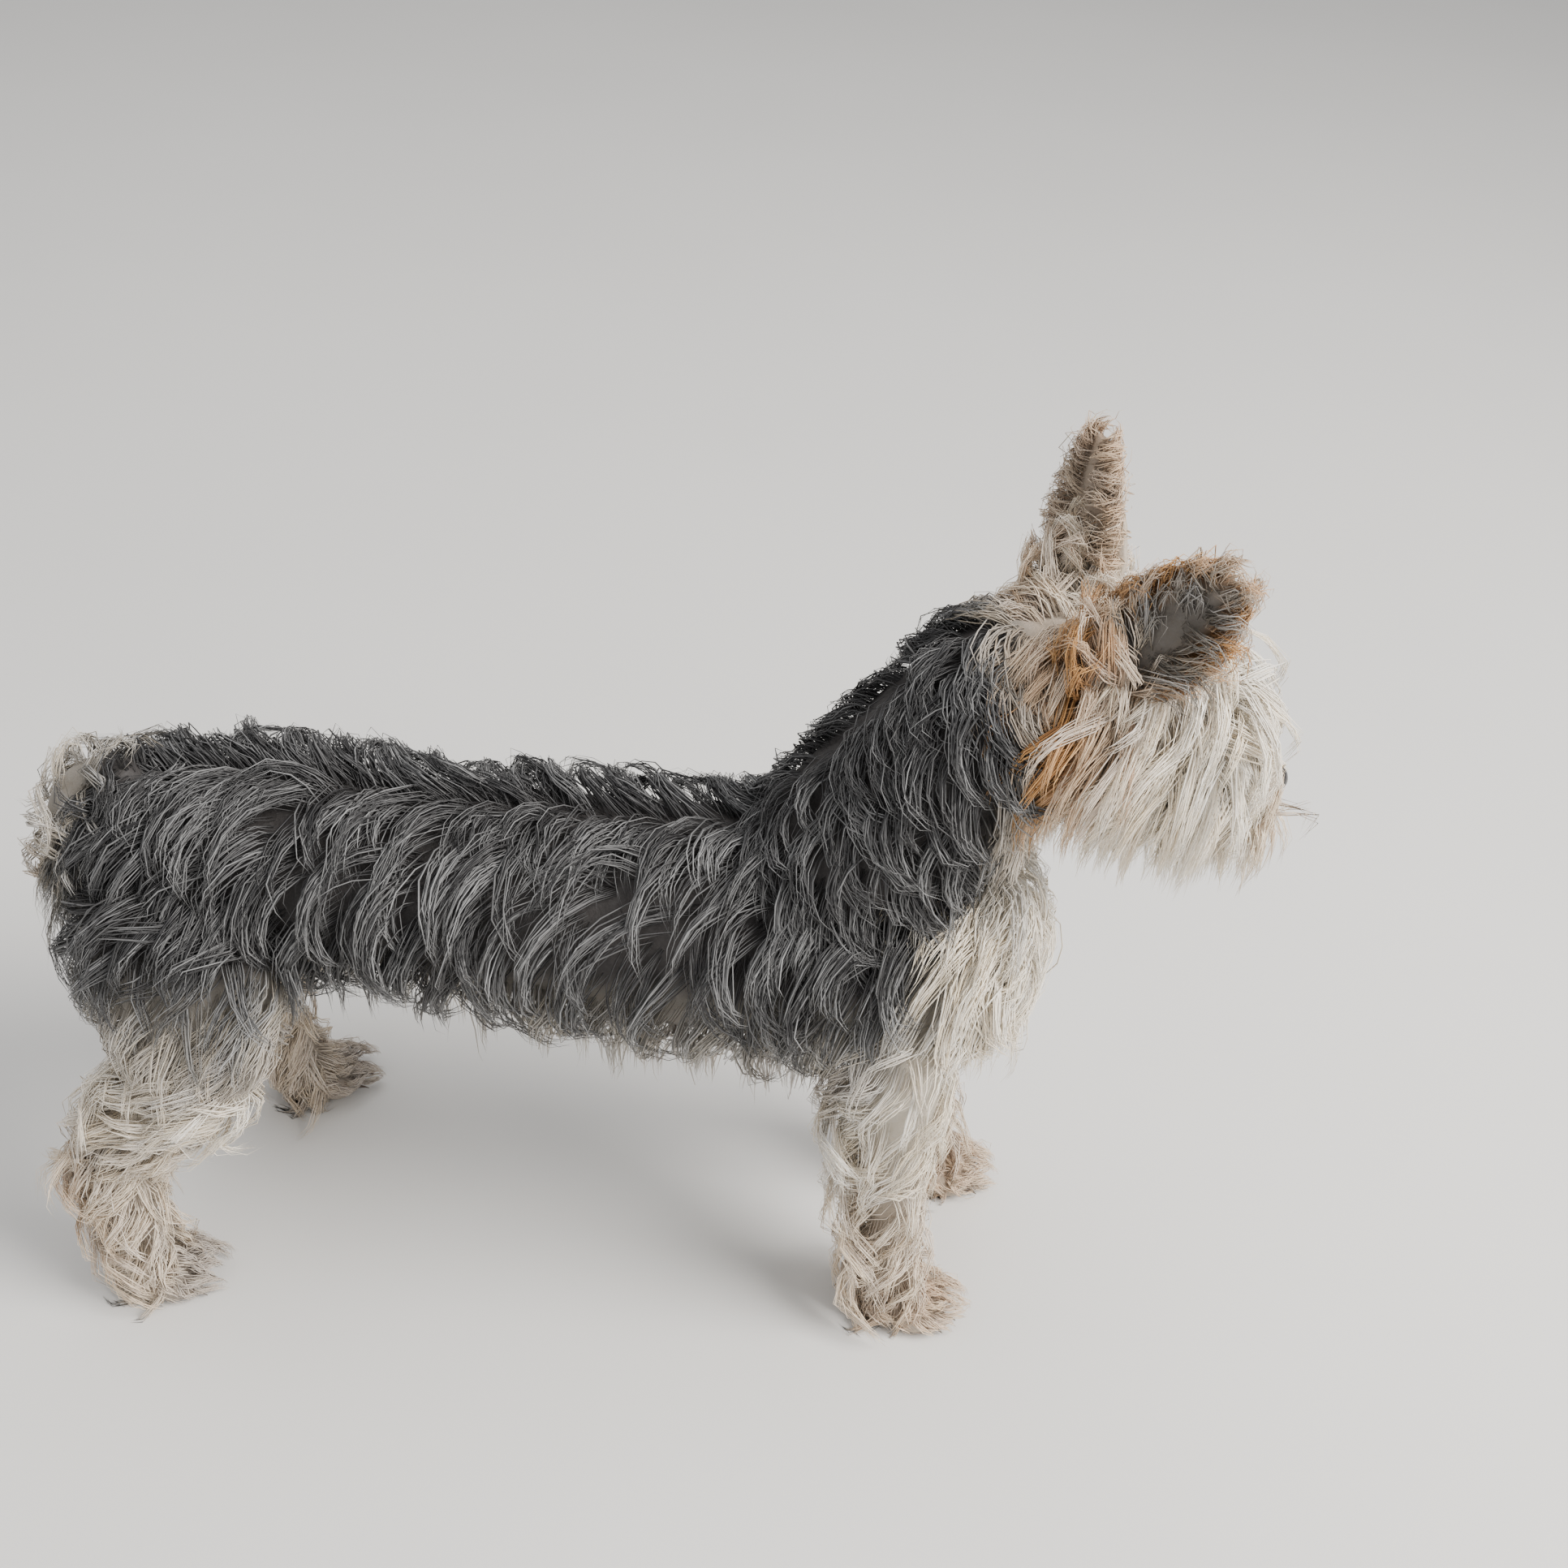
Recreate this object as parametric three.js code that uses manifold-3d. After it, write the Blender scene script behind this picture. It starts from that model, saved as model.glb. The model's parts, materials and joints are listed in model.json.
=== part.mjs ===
// Yorkshire terrier, a still, life-size model. Millimetres, +Z up, floor at z = 0.
// The dog faces +X and its right side is toward -Y.
import * as THREE from 'three';
import Module from 'manifold-3d';

const wasm = await Module();
wasm.setup();

// driving dimensions (mm) and angles (degrees)
const CUT_TOLERANCE = 0.02;    // corners closer than this are merged after the cuts
const DRAW_IN = 0.006;         // every surface is drawn in a hair, so no two sheets share a corner
const CLEAR = 0.4;             // space left between touching nodes
const FLOOR_GAP = 1.2;         // coat of the legs stops this far above the floor
const HEAD_AT = [190, 2, 268]; // middle of the skull
const HEAD_TURN = 10;          // head turned to the dog's left
const HEAD_DROP = 22;          // head tipped down
const EAR_LENGTH = 54;
const EAR_WIDTH = 17;          // half width at the widest place
const EAR_THICK = 2.4;
const EYE_RADIUS = 6.2;
const PAW_LENGTH = 36;
const PAW_WIDTH = 27;
const RAD = Math.PI / 180;

// seeded variation, the same on every run
let seed = 909;
function rnd(lo, hi) {
  seed = (seed * 1664525 + 1013904223) % 4294967296;
  return lo + (hi - lo) * seed / 4294967296;
}
function vec(a) {
  return new THREE.Vector3(a[0], a[1], a[2]);
}

// closed triangle mesh -> solid
function solidOf(points, tris) {
  const verts = new Float32Array(points.length * 3);
  points.forEach((p, i) => verts.set([p.x, p.y, p.z], i * 3));
  return new wasm.Manifold(new wasm.Mesh({
    numProp: 3, vertProperties: verts, triVerts: new Uint32Array(tris) }));
}
// closed skin over rings of equal count; an end is a point, or flat across when it has none
function skinOver(rings, first, last) {
  const n = rings[0].length;
  const points = rings.flat();
  const tris = [];
  const e = (rings.length - 1) * n;
  const cap = (tip, at, flip) => {
    const add = (x, y, z) => tris.push(...(flip ? [x, z, y] : [x, y, z]));
    if (tip) {
      points.push(tip);
      for (let k = 0; k < n; k++) add(points.length - 1, at + (k + 1) % n, at + k);
      return;
    }
    for (let k = 0; 2 * k < n - 2; k++) {
      const far = n - 1 - k;
      add(at + k, at + far, at + k + 1);
      if (far - 1 > k + 1) add(at + far, at + far - 1, at + k + 1);
    }
  };
  cap(first, 0, false);
  for (let i = 0; i < e; i += n) {
    for (let k = 0; k < n; k++) {
      const j = (k + 1) % n;
      tris.push(i + k, i + j, i + n + k, i + j, i + n + j, i + n + k);
    }
  }
  cap(last, e, true);
  return solidOf(points, tris);
}
function joinAll(list) {
  const whole = wasm.Manifold.union(list);
  whole.volume();
  list.forEach((piece) => piece.delete());
  return whole;
}
// the one largest body of a solid
function largest(solid) {
  let best = null;
  let most = 0;
  for (const piece of solid.decompose()) {
    const v = piece.volume();
    if (v > most) {
      most = v;
      best = piece;
    }
  }
  return best;
}

// rounded body forms: stations [x, y, z, half height, half width] along a spine
// turn angle 0 looks along `up`, 90 looks to the dog's right
class Form {
  constructor(stations, up, bends = false) {
    this.stations = stations;
    this.up = vec(up).normalize();
    this.bends = bends;
  }
  row(u) {
    const s = this.stations;
    const f = Math.min(Math.max(u, 0), 1) * (s.length - 1);
    const i = Math.min(Math.floor(f), s.length - 2);
    const t = f - i;
    const p0 = s[Math.max(i - 1, 0)];
    const p1 = s[i];
    const p2 = s[i + 1];
    const p3 = s[Math.min(i + 2, s.length - 1)];
    return p1.map((_, k) => 0.5 * (2 * p1[k] + (p2[k] - p0[k]) * t
      + (2 * p0[k] - 5 * p1[k] + 4 * p2[k] - p3[k]) * t * t
      + (3 * p1[k] - p0[k] - 3 * p2[k] + p3[k]) * t * t * t));
  }
  axes(u) {
    const near = this.bends ? [Math.max(u - 0.01, 0), Math.min(u + 0.01, 1)] : [0, 1];
    const along = vec(this.row(near[1])).sub(vec(this.row(near[0]))).normalize();
    const up = this.up.clone().addScaledVector(along, -this.up.dot(along)).normalize();
    return [along, up, along.clone().cross(up)];
  }
  at(u, turn, grow = 0) {
    const r = this.row(u);
    const [, up, side] = this.axes(u);
    const c = Math.cos(turn * RAD);
    const s = Math.sin(turn * RAD);
    return vec(r).addScaledVector(up, (Math.max(r[3], 0.5) + grow) * c)
      .addScaledVector(side, (Math.max(r[4], 0.5) + grow) * s);
  }
  solid(rings, sides, grow = 0) {
    const list = [];
    const [a] = this.axes(0);
    const [b] = this.axes(1);
    for (let i = 0; i < rings; i++) {
      const u = i / (rings - 1);
      const ring = Array.from({ length: sides }, (_, k) => this.at(u, 360 * k / sides, grow));
      if (i === 0) ring.forEach((p) => p.addScaledVector(a, -grow));
      if (i === rings - 1) ring.forEach((p) => p.addScaledVector(b, grow));
      list.push(ring);
    }
    const first = vec(this.row(0)).addScaledVector(a, -1.5 - grow);
    const last = vec(this.row(1)).addScaledVector(b, 1.5 + grow);
    return skinOver(list, first, last);
  }
  // unit directions on the surface: along the spine, around it, and out of it
  frame(u, turn) {
    const d = 0.004;
    u = Math.min(Math.max(u, d), 1 - d);
    const du = this.at(u + d, turn).sub(this.at(u - d, turn));
    const dv = this.at(u, turn + 0.5).sub(this.at(u, turn - 0.5));
    const out = dv.clone().cross(du).normalize();
    const sizeU = Math.max(du.length() / (2 * d), 20);
    const sizeV = Math.max(dv.length(), 0.08);
    return [du.normalize(), dv.normalize(), out, sizeU, sizeV];
  }
}

// a lock of coat: a flat tapered strip that starts under the surface, follows it and bends
// o: long, wide, thick, heading (0 along the spine, 90 around it), curl, lift, sink, hang
const LOCK_SHAPE = [[0, 0.7, 0], [0.36, 1, 0.75], [0.72, 0.7, 1.05]];
function lock(form, u, turn, o, wider = 0) {
  const grow = wider * 2;
  const steps = 20;
  const step = o.long / steps;
  const down = new THREE.Vector3(0, 0, -1);
  const path = [];
  let uu = u;
  let tt = turn;
  let head = o.heading;
  let here = form.at(uu, tt);
  let free = false;
  for (let i = 0; i <= steps; i++) {
    const t = i / steps;
    const [fu, fv, out, su, sv] = form.frame(uu, tt);
    const c = Math.cos(head * RAD);
    const s = Math.sin(head * RAD);
    const go = fu.clone().multiplyScalar(c).addScaledVector(fv, s);
    path.push([here.clone(), out]);
    free = free || t > 1 - o.hang || uu > 0.97 || uu < 0.03;
    if (free) {
      const fall = o.hang > 0 ? Math.min(1, 1.3 * Math.max(0, t - 1 + o.hang) / o.hang) : 0;
      here = here.clone().addScaledVector(go.lerp(down, fall).normalize(), step);
    } else {
      uu += c * step / su;
      tt += s * step / sv;
      here = form.at(uu, tt);
    }
    head += o.curl * Math.cos(t * 4.2) / steps * 2.4;
  }
  const rings = [];
  let tip = null;
  for (const [t, w, h] of [...LOCK_SHAPE, [1, 0, 0.75]]) {
    const i = Math.round(t * steps);
    const [p, out] = path[i];
    const go = path[Math.min(i + 1, steps)][0].clone().sub(path[Math.max(i - 1, 0)][0]).normalize();
    const n = out.clone().addScaledVector(go, -out.dot(go)).normalize();
    const side = go.clone().cross(n);
    const mid = p.clone().addScaledVector(n, h * o.lift - (1 - h) * o.sink * (t < 0.5 ? 1 : 0));
    if (w === 0) {
      tip = mid.addScaledVector(go, grow * 2.5);
    } else {
      const a = o.wide * w / 2 + grow * 1.4;
      const b = o.thick * (0.55 + 0.45 * w) / 2 + grow * 1.2;
      if (t === 0) mid.addScaledVector(go, -grow);
      const place = (x, y) => mid.clone().addScaledVector(side, x).addScaledVector(n, y);
      const edge = 2.4 * grow - b;
      rings.push(grow > 0
        ? [place(a, -b), place(-a, -b), place(-a, edge), place(0, b * 1.3 + grow * 0.4), place(a, edge)]
        : [place(a, -b), place(-a, -b), place(0, b * 1.3)]);
    }
  }
  return skinOver(rings, null, tip);
}

// the forms of the dog
const torsoForm = new Form([
  [-149, 0, 180, 12, 13], [-141, 0, 180, 25, 26], [-118, 0, 181, 31, 36], [-85, 0, 180, 33, 39],
  [-45, 0, 176, 34, 40], [0, 0, 171, 38, 41], [45, 0, 166, 42, 42], [90, 0, 165, 45, 43],
  [125, 0, 166, 43, 42], [152, 0, 163, 37, 37], [166, 0, 162, 28, 30], [174, 0, 161, 13, 15],
], [0, 0, 1]);
const neckForm = new Form([
  [96, 0, 165, 26, 26], [106, 0, 183, 38, 38], [122, 0, 211, 37, 38], [139, 0, 240, 33, 36],
  [155, 0, 266, 29, 33], [166, 1, 282, 22, 26], [172, 1, 292, 10, 12],
], [-0.87, 0, 0.49]);

// head places are given ahead, left and above the middle of the skull
const headTurn = new THREE.Matrix4().makeRotationZ(HEAD_TURN * RAD)
  .multiply(new THREE.Matrix4().makeRotationY(HEAD_DROP * RAD));
headTurn.setPosition(...HEAD_AT);
function onHead(x, y, z) {
  return vec([x, y, z]).applyMatrix4(headTurn).toArray();
}
const headUp = vec([0, 0, 1]).transformDirection(headTurn).toArray();
const skullForm = new Form([
  [...onHead(-37, 0, 0), 12, 12], [...onHead(-32, 0, 0), 22, 22], [...onHead(-18, 0, 1), 30, 32],
  [...onHead(2, 0, 1), 32, 34], [...onHead(20, 0, 0), 29, 31], [...onHead(32, 0, -2), 22, 24],
  [...onHead(38, 0, -3), 12, 14],
], headUp);
const muzzleForm = new Form([
  [...onHead(6, 0, -10), 20, 26], [...onHead(24, 0, -11), 21, 26], [...onHead(42, 0, -12), 18, 21],
  [...onHead(56, 0, -12), 14, 16], [...onHead(65, 0, -11), 10, 11], [...onHead(69, 0, -11), 5, 6],
], headUp);

const tailForm = new Form([
  [-126, 0, 201, 10, 10], [-138, 0, 205, 13, 14], [-150, 0, 200, 13, 15], [-157, 0, 187, 12, 14],
  [-159, 0, 172, 10, 12], [-158, 0, 163, 5, 6],
], [-0.2, 0, 1], true);

// one leg: stations from the top down, `up` of a leg form is its front
function foreLegForm(side, x, y) {
  return new Form([
    [x - 14, side * 26, 158, 15, 12], [x - 13, side * 31, 145, 20, 15], [x - 12, y, 122, 19, 15],
    [x - 10, y, 95, 14, 13], [x - 9, y, 68, 12, 11], [x - 7, y, 42, 11, 11],
    [x - 4, y, 24, 12, 12], [x - 2, y, 14, 9, 10],
  ], [1, 0, 0]);
}
function thighForm(x, side) {
  return new Form([
    [x - 4, side * 27, 192, 16, 8], [x - 2, side * 33, 182, 29, 13], [x + 1, side * 38, 163, 36, 16],
    [x + 6, side * 42, 142, 32, 17], [x + 6, side * 45, 124, 24, 16], [x + 2, side * 47, 112, 14, 12],
  ], [1, 0, 0]);
}
function shankForm(kneeX, hockX, y) {
  const mid = (kneeX + hockX) / 2;
  return new Form([
    [kneeX + 2, y - Math.sign(y) * 2, 126, 13, 10], [kneeX - 4, y - Math.sign(y), 116, 18, 14],
    [mid - 2, y, 99, 18, 14], [hockX + 5, y, 83, 15, 12], [hockX - 1, y, 74, 9, 8],
  ], [1, 0, 0.5]);
}
function pasternForm(hockX, footX, y) {
  const mid = (hockX + footX) / 2;
  return new Form([
    [hockX - 2, y, 84, 7, 7], [hockX - 1, y, 74, 12, 11], [mid - 1, y, 54, 12, 11],
    [mid + 1, y, 34, 11, 11], [footX, y, 20, 11, 11], [footX + 2, y, 12, 8, 9],
  ], [1, 0, 0]);
}

// a ball or egg: centre, half sizes along X, Y and Z, and how many sides it has
function egg(center, half, sides, place = (p) => p) {
  const rings = [];
  const n = Math.round(sides / 2);
  for (let i = 1; i < n; i++) {
    const t = Math.PI * i / n;
    rings.push(Array.from({ length: sides }, (_, k) => {
      const s = 2 * Math.PI * k / sides;
      return place(vec([center[0] - half[0] * Math.cos(t),
        center[1] + half[1] * Math.sin(t) * Math.cos(s),
        center[2] + half[2] * Math.sin(t) * Math.sin(s)]));
    }));
  }
  const end = (d) => place(vec([center[0] + d * half[0], center[1], center[2]]));
  return skinOver(rings, end(-1), end(1));
}

// paw: a low rounded body with four toes and their claws, resting on a flat
function paw(x, y, aim, grow = 0) {
  const turn = new THREE.Matrix4().makeRotationZ(aim * RAD);
  turn.setPosition(x, y, 0);
  const place = (p) => p.applyMatrix4(turn);
  const lump = (center, half, sides) => egg(center, half.map((h) => h + grow), sides, place);
  const parts = [lump([-3, 0, 9], [PAW_LENGTH * 0.42, PAW_WIDTH * 0.42, 11], 8)];
  for (const [k, ahead] of [[-1.5, 5], [-0.5, 9], [0.5, 9], [1.5, 5]]) {
    const w = PAW_WIDTH / 4;
    parts.push(lump([ahead, k * w, 6.5], [9, w * 0.56, 7.5], 6));
    parts.push(lump([ahead + 8, k * w * 1.04, 4.2], [4.2, 1.5, 1.7], 4));
  }
  return joinAll(parts).trimByPlane([0, 0, 1], grow > 0 ? -5 : 0);
}

// ear: a leaf-shaped cup, its hollow facing `face`, its tip along `aim`
function ear(root, aim, face, grow = 0) {
  const up = vec(aim).normalize();
  const front = vec(face).addScaledVector(up, -vec(face).dot(up)).normalize();
  const side = up.clone().cross(front);
  const base = vec(root);
  const rings = [];
  const across = 6;
  const wideAt = [0.62, 0.92, 1, 0.86, 0.56, 0.2];
  wideAt.forEach((w, i) => {
    const t = -0.12 + 1.08 * i / 5 + (i === 0 ? -grow : grow * (i === 5)) / EAR_LENGTH;
    const half = EAR_WIDTH * w + grow * 1.5;
    const cup = 9 * w * (1 - 0.35 * i / 5);
    const place = (s, depth) => base.clone().addScaledVector(up, EAR_LENGTH * t)
      .addScaledVector(side, half * s)
      .addScaledVector(front, cup * (half * s / (EAR_WIDTH * w)) ** 2 - 3 + depth);
    const ring = [];
    for (let k = 0; k <= across; k++) ring.push(place(-1 + 2 * k / across, -EAR_THICK / 2 - grow));
    for (let k = across; k >= 0; k--) ring.push(place(-1 + 2 * k / across, EAR_THICK / 2 + grow));
    rings.push(ring.reverse());
  });
  return skinOver(rings, null, null);
}

function ball(center, radius) {
  return egg(center, [radius, radius, radius], 10);
}

// a band of diamond section along a row of places on the head
function band(places, high, deep, grow = 0) {
  const rings = places.map((p, i) => {
    const here = vec(p);
    const go = vec(places[Math.min(i + 1, places.length - 1)])
      .sub(vec(places[Math.max(i - 1, 0)])).normalize();
    const up = vec(headUp);
    const out = go.clone().cross(up).normalize();
    up.copy(out).cross(go);
    return [here.clone().addScaledVector(out, deep + grow), here.clone().addScaledVector(up, -high - grow),
      here.clone().addScaledVector(out, -deep - grow), here.clone().addScaledVector(up, high + grow)];
  });
  return skinOver(rings, null, null);
}

// coats: each is a seeded list of locks, so a grown copy repeats the same locks
// places: rows of [u, turns]; side +1 or -1 mirrors a turn list to the dog's right or left
function coat(form, rows, look) {
  const list = [];
  for (const [u, turns, change] of rows) {
    for (const turn of turns) {
      const o = { ...look, ...change };
      const side = Math.sin(turn * RAD) < 0 ? -1 : 1;
      const size = rnd(0.86, 1.14);
      list.push({ form, u: u + rnd(-0.012, 0.012), turn: turn + rnd(-4, 4),
        long: o.long * size, wide: o.wide * rnd(0.88, 1.12), thick: o.thick,
        heading: side * (o.heading + rnd(-9, 9)), curl: side * o.curl * rnd(0.6, 1.3),
        lift: o.lift * rnd(0.85, 1.15), sink: o.sink, hang: o.hang || 0 });
    }
  }
  return list;
}
function both(...turns) {
  return turns.flatMap((t) => [t, -t]);
}
function steps(from, to, count, make) {
  return Array.from({ length: count }, (_, i) => make(from + (to - from) * i / (count - 1), i));
}
function grown(list, grow) {
  return list.map((l) => lock(l.form, l.u, l.turn, l, grow));
}

// back and sides: parted along the spine, falling outward and back in waves
const backLook = { long: 47, wide: 23, thick: 3.6, heading: 108, curl: 30, lift: 7.5, sink: 4 };
const torsoLocks = [
  ...coat(torsoForm, steps(0.12, 0.8, 8, (u) => [u, both(14)]), backLook),
  ...coat(torsoForm, steps(0.15, 0.88, 8, (u) => [u, both(48)]), backLook),
  ...coat(torsoForm, steps(0.12, 0.9, 8, (u) => [u, both(82)]), { ...backLook, long: 40 }),
  ...coat(torsoForm, steps(0.34, 0.82, 7, (u) => [u, both(112)]),
    { ...backLook, long: 30, lift: 6, hang: 0.72, heading: 92 }),
  ...coat(torsoForm, [[0.95, both(75, 112, 150)]],
    { ...backLook, long: 36, wide: 21, heading: 100, lift: 6, hang: 0.6 }),
];
// neck: from the nape down and outward
const neckLook = { long: 38, wide: 18, thick: 3.4, heading: 125, curl: 26, lift: 7, sink: 4 };
const neckLocks = [
  ...coat(neckForm, [[0.84, both(16, 62)], [0.62, both(38, 84)], [0.42, both(14, 60)]], neckLook),
  ...coat(neckForm, [[0.5, both(125)], [0.32, both(108, 150)]],
    { ...neckLook, long: 30, heading: 140, hang: 0.5, lift: 5 }),
];
// crown, cheeks, fringe, moustache and beard
const headLook = { long: 32, wide: 11, thick: 2.8, heading: 82, curl: 14, lift: 5, sink: 3.4 };
const headLocks = [
  ...coat(skullForm, [[0.18, both(32)], [0.42, both(14)], [0.64, both(22)]], headLook),
  ...coat(skullForm, [[0.8, both(12, 42)]], { ...headLook, long: 26, heading: 34, lift: 8, hang: 0.4 }),
  ...coat(skullForm, [[0.18, both(98)], [0.36, both(70)], [0.5, both(104)], [0.64, both(76)]],
    { ...headLook, long: 44, wide: 17, lift: 9, hang: 0.6 }),
  ...coat(skullForm, [[0.36, both(142)]], { ...headLook, long: 36, wide: 16, lift: 5, hang: 0.7 }),
  ...coat(muzzleForm, [[0.24, both(96)], [0.44, both(62)], [0.6, both(98)], [0.8, both(66)]],
    { ...headLook, long: 38, wide: 14, lift: 7, hang: 0.72 }),
  ...coat(muzzleForm, [[0.3, [176]], [0.56, [170]], [0.84, [178]]],
    { ...headLook, long: 28, wide: 14, heading: 20, lift: 3, hang: 0.9 }),
];
const tailLook = { long: 24, wide: 15, thick: 2.8, heading: 30, curl: 70, lift: 5.5, sink: 3 };
const tailLocks = coat(tailForm, [[0.2, both(64)], [0.46, both(16, 90)], [0.74, both(45)]], tailLook);
const legLook = { long: 30, wide: 12, thick: 2.8, heading: 8, curl: 24, lift: 5, sink: 3 };
function foreLegCoat(form) {
  return [
    ...coat(form, [[0.36, both(40, 100)], [0.62, both(35, 95)]], { ...legLook, long: 34, wide: 13 }),
    ...coat(form, [[0.46, [180]], [0.64, [170]], [0.82, [-170]]],
      { ...legLook, long: 26, lift: 8, hang: 0.3 }),
  ];
}
function thighCoat(form, side) {
  const rows = [[0.16, [35, 88, 142]], [0.42, [14, 62, 112]], [0.68, [35, 85, 138]]];
  const outer = rows.map(([u, turns]) => [u, turns.map((turn) => turn * side)]);
  return coat(form, outer, { ...legLook, long: 38, wide: 18, lift: 6, curl: 34, heading: 20 });
}
function shankCoat(form, upper) {
  return [
    ...coat(form, upper ? [[0.2, both(40)], [0.55, both(75)]]
      : [[0.22, both(60)], [0.62, both(40)]], legLook),
    ...coat(form, upper ? [[0.4, [165]], [0.7, [-165]]] : [[0.2, [180]], [0.55, both(140)]],
      { ...legLook, long: 26, lift: 7, hang: 0.35 }),
  ];
}
// each ear: its root, the way its tip points and the way its hollow faces
const EAR_R = [onHead(-19, -23, 22), [27, -14, 42], [0.6, -0.7, -0.2]];
const EAR_L = [onHead(-19, 23, 22), [3, 4, 50], [0.9, 0.4, 0.1]];

// eyes with their lids, the mouth's line and lips, the nose and its nostrils
const EYE = { ahead: 33.5, out: 15, above: 6 };
function lids(side, g) {
  const axis = [0.74, side * 0.62, 0.22];
  const list = [];
  for (const way of [1, -1]) {
    const places = [];
    for (let i = 0; i <= 4; i++) {
      const a = Math.PI * (0.03 + 0.94 * i / 4);
      const r = EYE_RADIUS + 0.5;
      const across = r * Math.cos(a);
      const high = way * r * 0.62 * Math.sin(a);
      const deep = Math.sqrt(Math.max(r * r - across * across - high * high, 0));
      places.push(onHead(EYE.ahead + axis[0] * deep - side * axis[1] * across * 0.95,
        side * EYE.out + axis[1] * deep + side * axis[0] * across, EYE.above + high));
    }
    list.push(band(places, 1.3, 1.5, g));
  }
  return list;
}
function mouth(deep, high, drop, g = 0) {
  const places = [];
  for (let i = 0; i <= 6; i++) {
    const a = -100 + 200 * i / 6;
    places.push(onHead(44 + 24.5 * Math.cos(a * RAD), 19 * Math.sin(a * RAD),
      -15.5 - drop + 2.5 * (1 - Math.cos(a * RAD)) * 0.6));
  }
  return band(places, high, deep, g);
}
function headSolid(g) {
  const parts = [skullForm.solid(9, 14, g), muzzleForm.solid(6, 12, g), mouth(1.6, 1.6, -1.8, g),
    ...lids(1, g), ...lids(-1, g), ...grown(headLocks, g)];
  const whole = joinAll(parts);
  return g > 0 ? whole : whole.subtract(mouth(2.4, 0.45, 0));
}
const NOSE_AT = onHead(70, 0, -8);
function noseSolid(g) {
  const place = (p) => p.applyMatrix4(headTurn);
  const pad = egg([70, 0, -8], [5.5 + g, 6.5 + g, 5.5 + g], 10, place);
  if (g > 0) return pad;
  const holes = [1, -1].map((side) => egg([75, side * 2.8, -8.5], [3, 1.5, 1.6], 6, place));
  return pad.subtract(joinAll(holes));
}
const nodes = [];
function node(name, color, make, rough = 0.85) {
  nodes.push({ name, color, make, rough });
}
function coated(form, rings, sides, locks) {
  return (g) => {
    const whole = joinAll([form.solid(rings, sides, g), ...grown(locks, g)]);
    return g > 0 ? whole : whole.trimByPlane([0, 0, 1], FLOOR_GAP);
  };
}
function leg(form, rings, locks) {
  return coated(form, rings, 9, locks);
}
const foreRight = foreLegForm(-1, 148, -35);
const foreLeft = foreLegForm(1, 162, 33);
const thighRight = thighForm(-112, -1);
const thighLeft = thighForm(-98, 1);
const shankRight = shankForm(-99, -143, -48);
const shankLeft = shankForm(-78, -116, 54);
const pasternRight = pasternForm(-145, -140, -48);
const pasternLeft = pasternForm(-118, -108, 54);

node('eye_right', '#1b120c', (g) => ball(onHead(EYE.ahead, -EYE.out, EYE.above), EYE_RADIUS + g), 0.15);
node('eye_left', '#1b120c', (g) => ball(onHead(EYE.ahead, EYE.out, EYE.above), EYE_RADIUS + g), 0.15);
node('nose', '#141110', noseSolid, 0.4);
node('ear_right', '#9a6b42', (g) => ear(...EAR_R, g));
node('ear_left', '#a5754a', (g) => ear(...EAR_L, g));
node('head', '#cdb79c', headSolid);
node('neck', '#6f7277', coated(neckForm, 7, 14, neckLocks));
node('torso', '#4d5056', coated(torsoForm, 12, 16, torsoLocks));
node('tail', '#8d8577', coated(tailForm, 8, 10, tailLocks));
node('paw_fore_right', '#c59a72', (g) => paw(148, -35, -4, g));
node('paw_fore_left', '#c59a72', (g) => paw(162, 33, 4, g));
node('paw_hind_right', '#a39c92', (g) => paw(-137, -48, 10, g));
node('paw_hind_left', '#a39c92', (g) => paw(-102, 58, 28, g));
node('foreleg_right', '#d6c3aa', leg(foreRight, 7, foreLegCoat(foreRight)));
node('foreleg_left', '#d6c3aa', leg(foreLeft, 7, foreLegCoat(foreLeft)));
node('thigh_right', '#8d8b88', leg(thighRight, 7, thighCoat(thighRight, 1)));
node('thigh_left', '#8d8b88', leg(thighLeft, 7, thighCoat(thighLeft, -1)));
node('shank_right', '#cdb9a0', leg(shankRight, 7, shankCoat(shankRight, true)));
node('shank_left', '#cdb9a0', leg(shankLeft, 7, shankCoat(shankLeft, true)));
node('pastern_right', '#cdb9a0', leg(pasternRight, 7, shankCoat(pasternRight, false)));
node('pastern_left', '#cdb9a0', leg(pasternLeft, 7, shankCoat(pasternLeft, false)));

// each node is cut clear of the nodes before it and kept as one closed body
function boxOf(solid) {
  const box = solid.boundingBox();
  return new THREE.Box3(vec(box.min), vec(box.max));
}
const earlier = [];
for (const n of nodes) {
  let solid = n.make(0);
  for (const other of earlier) {
    if (!boxOf(solid).intersectsBox(boxOf(other))) continue;
    const cut = solid.subtract(other);
    solid.delete();
    solid = cut;
  }
  n.solid = largest(solid.setTolerance(CUT_TOLERANCE));
  earlier.push(n.make(CLEAR), n.solid);
}

// the row's frame: the middle of the whole model in plan, on the floor
const whole = new THREE.Box3();
for (const n of nodes) whole.union(boxOf(n.solid));
const middle = whole.getCenter(new THREE.Vector3());

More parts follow.
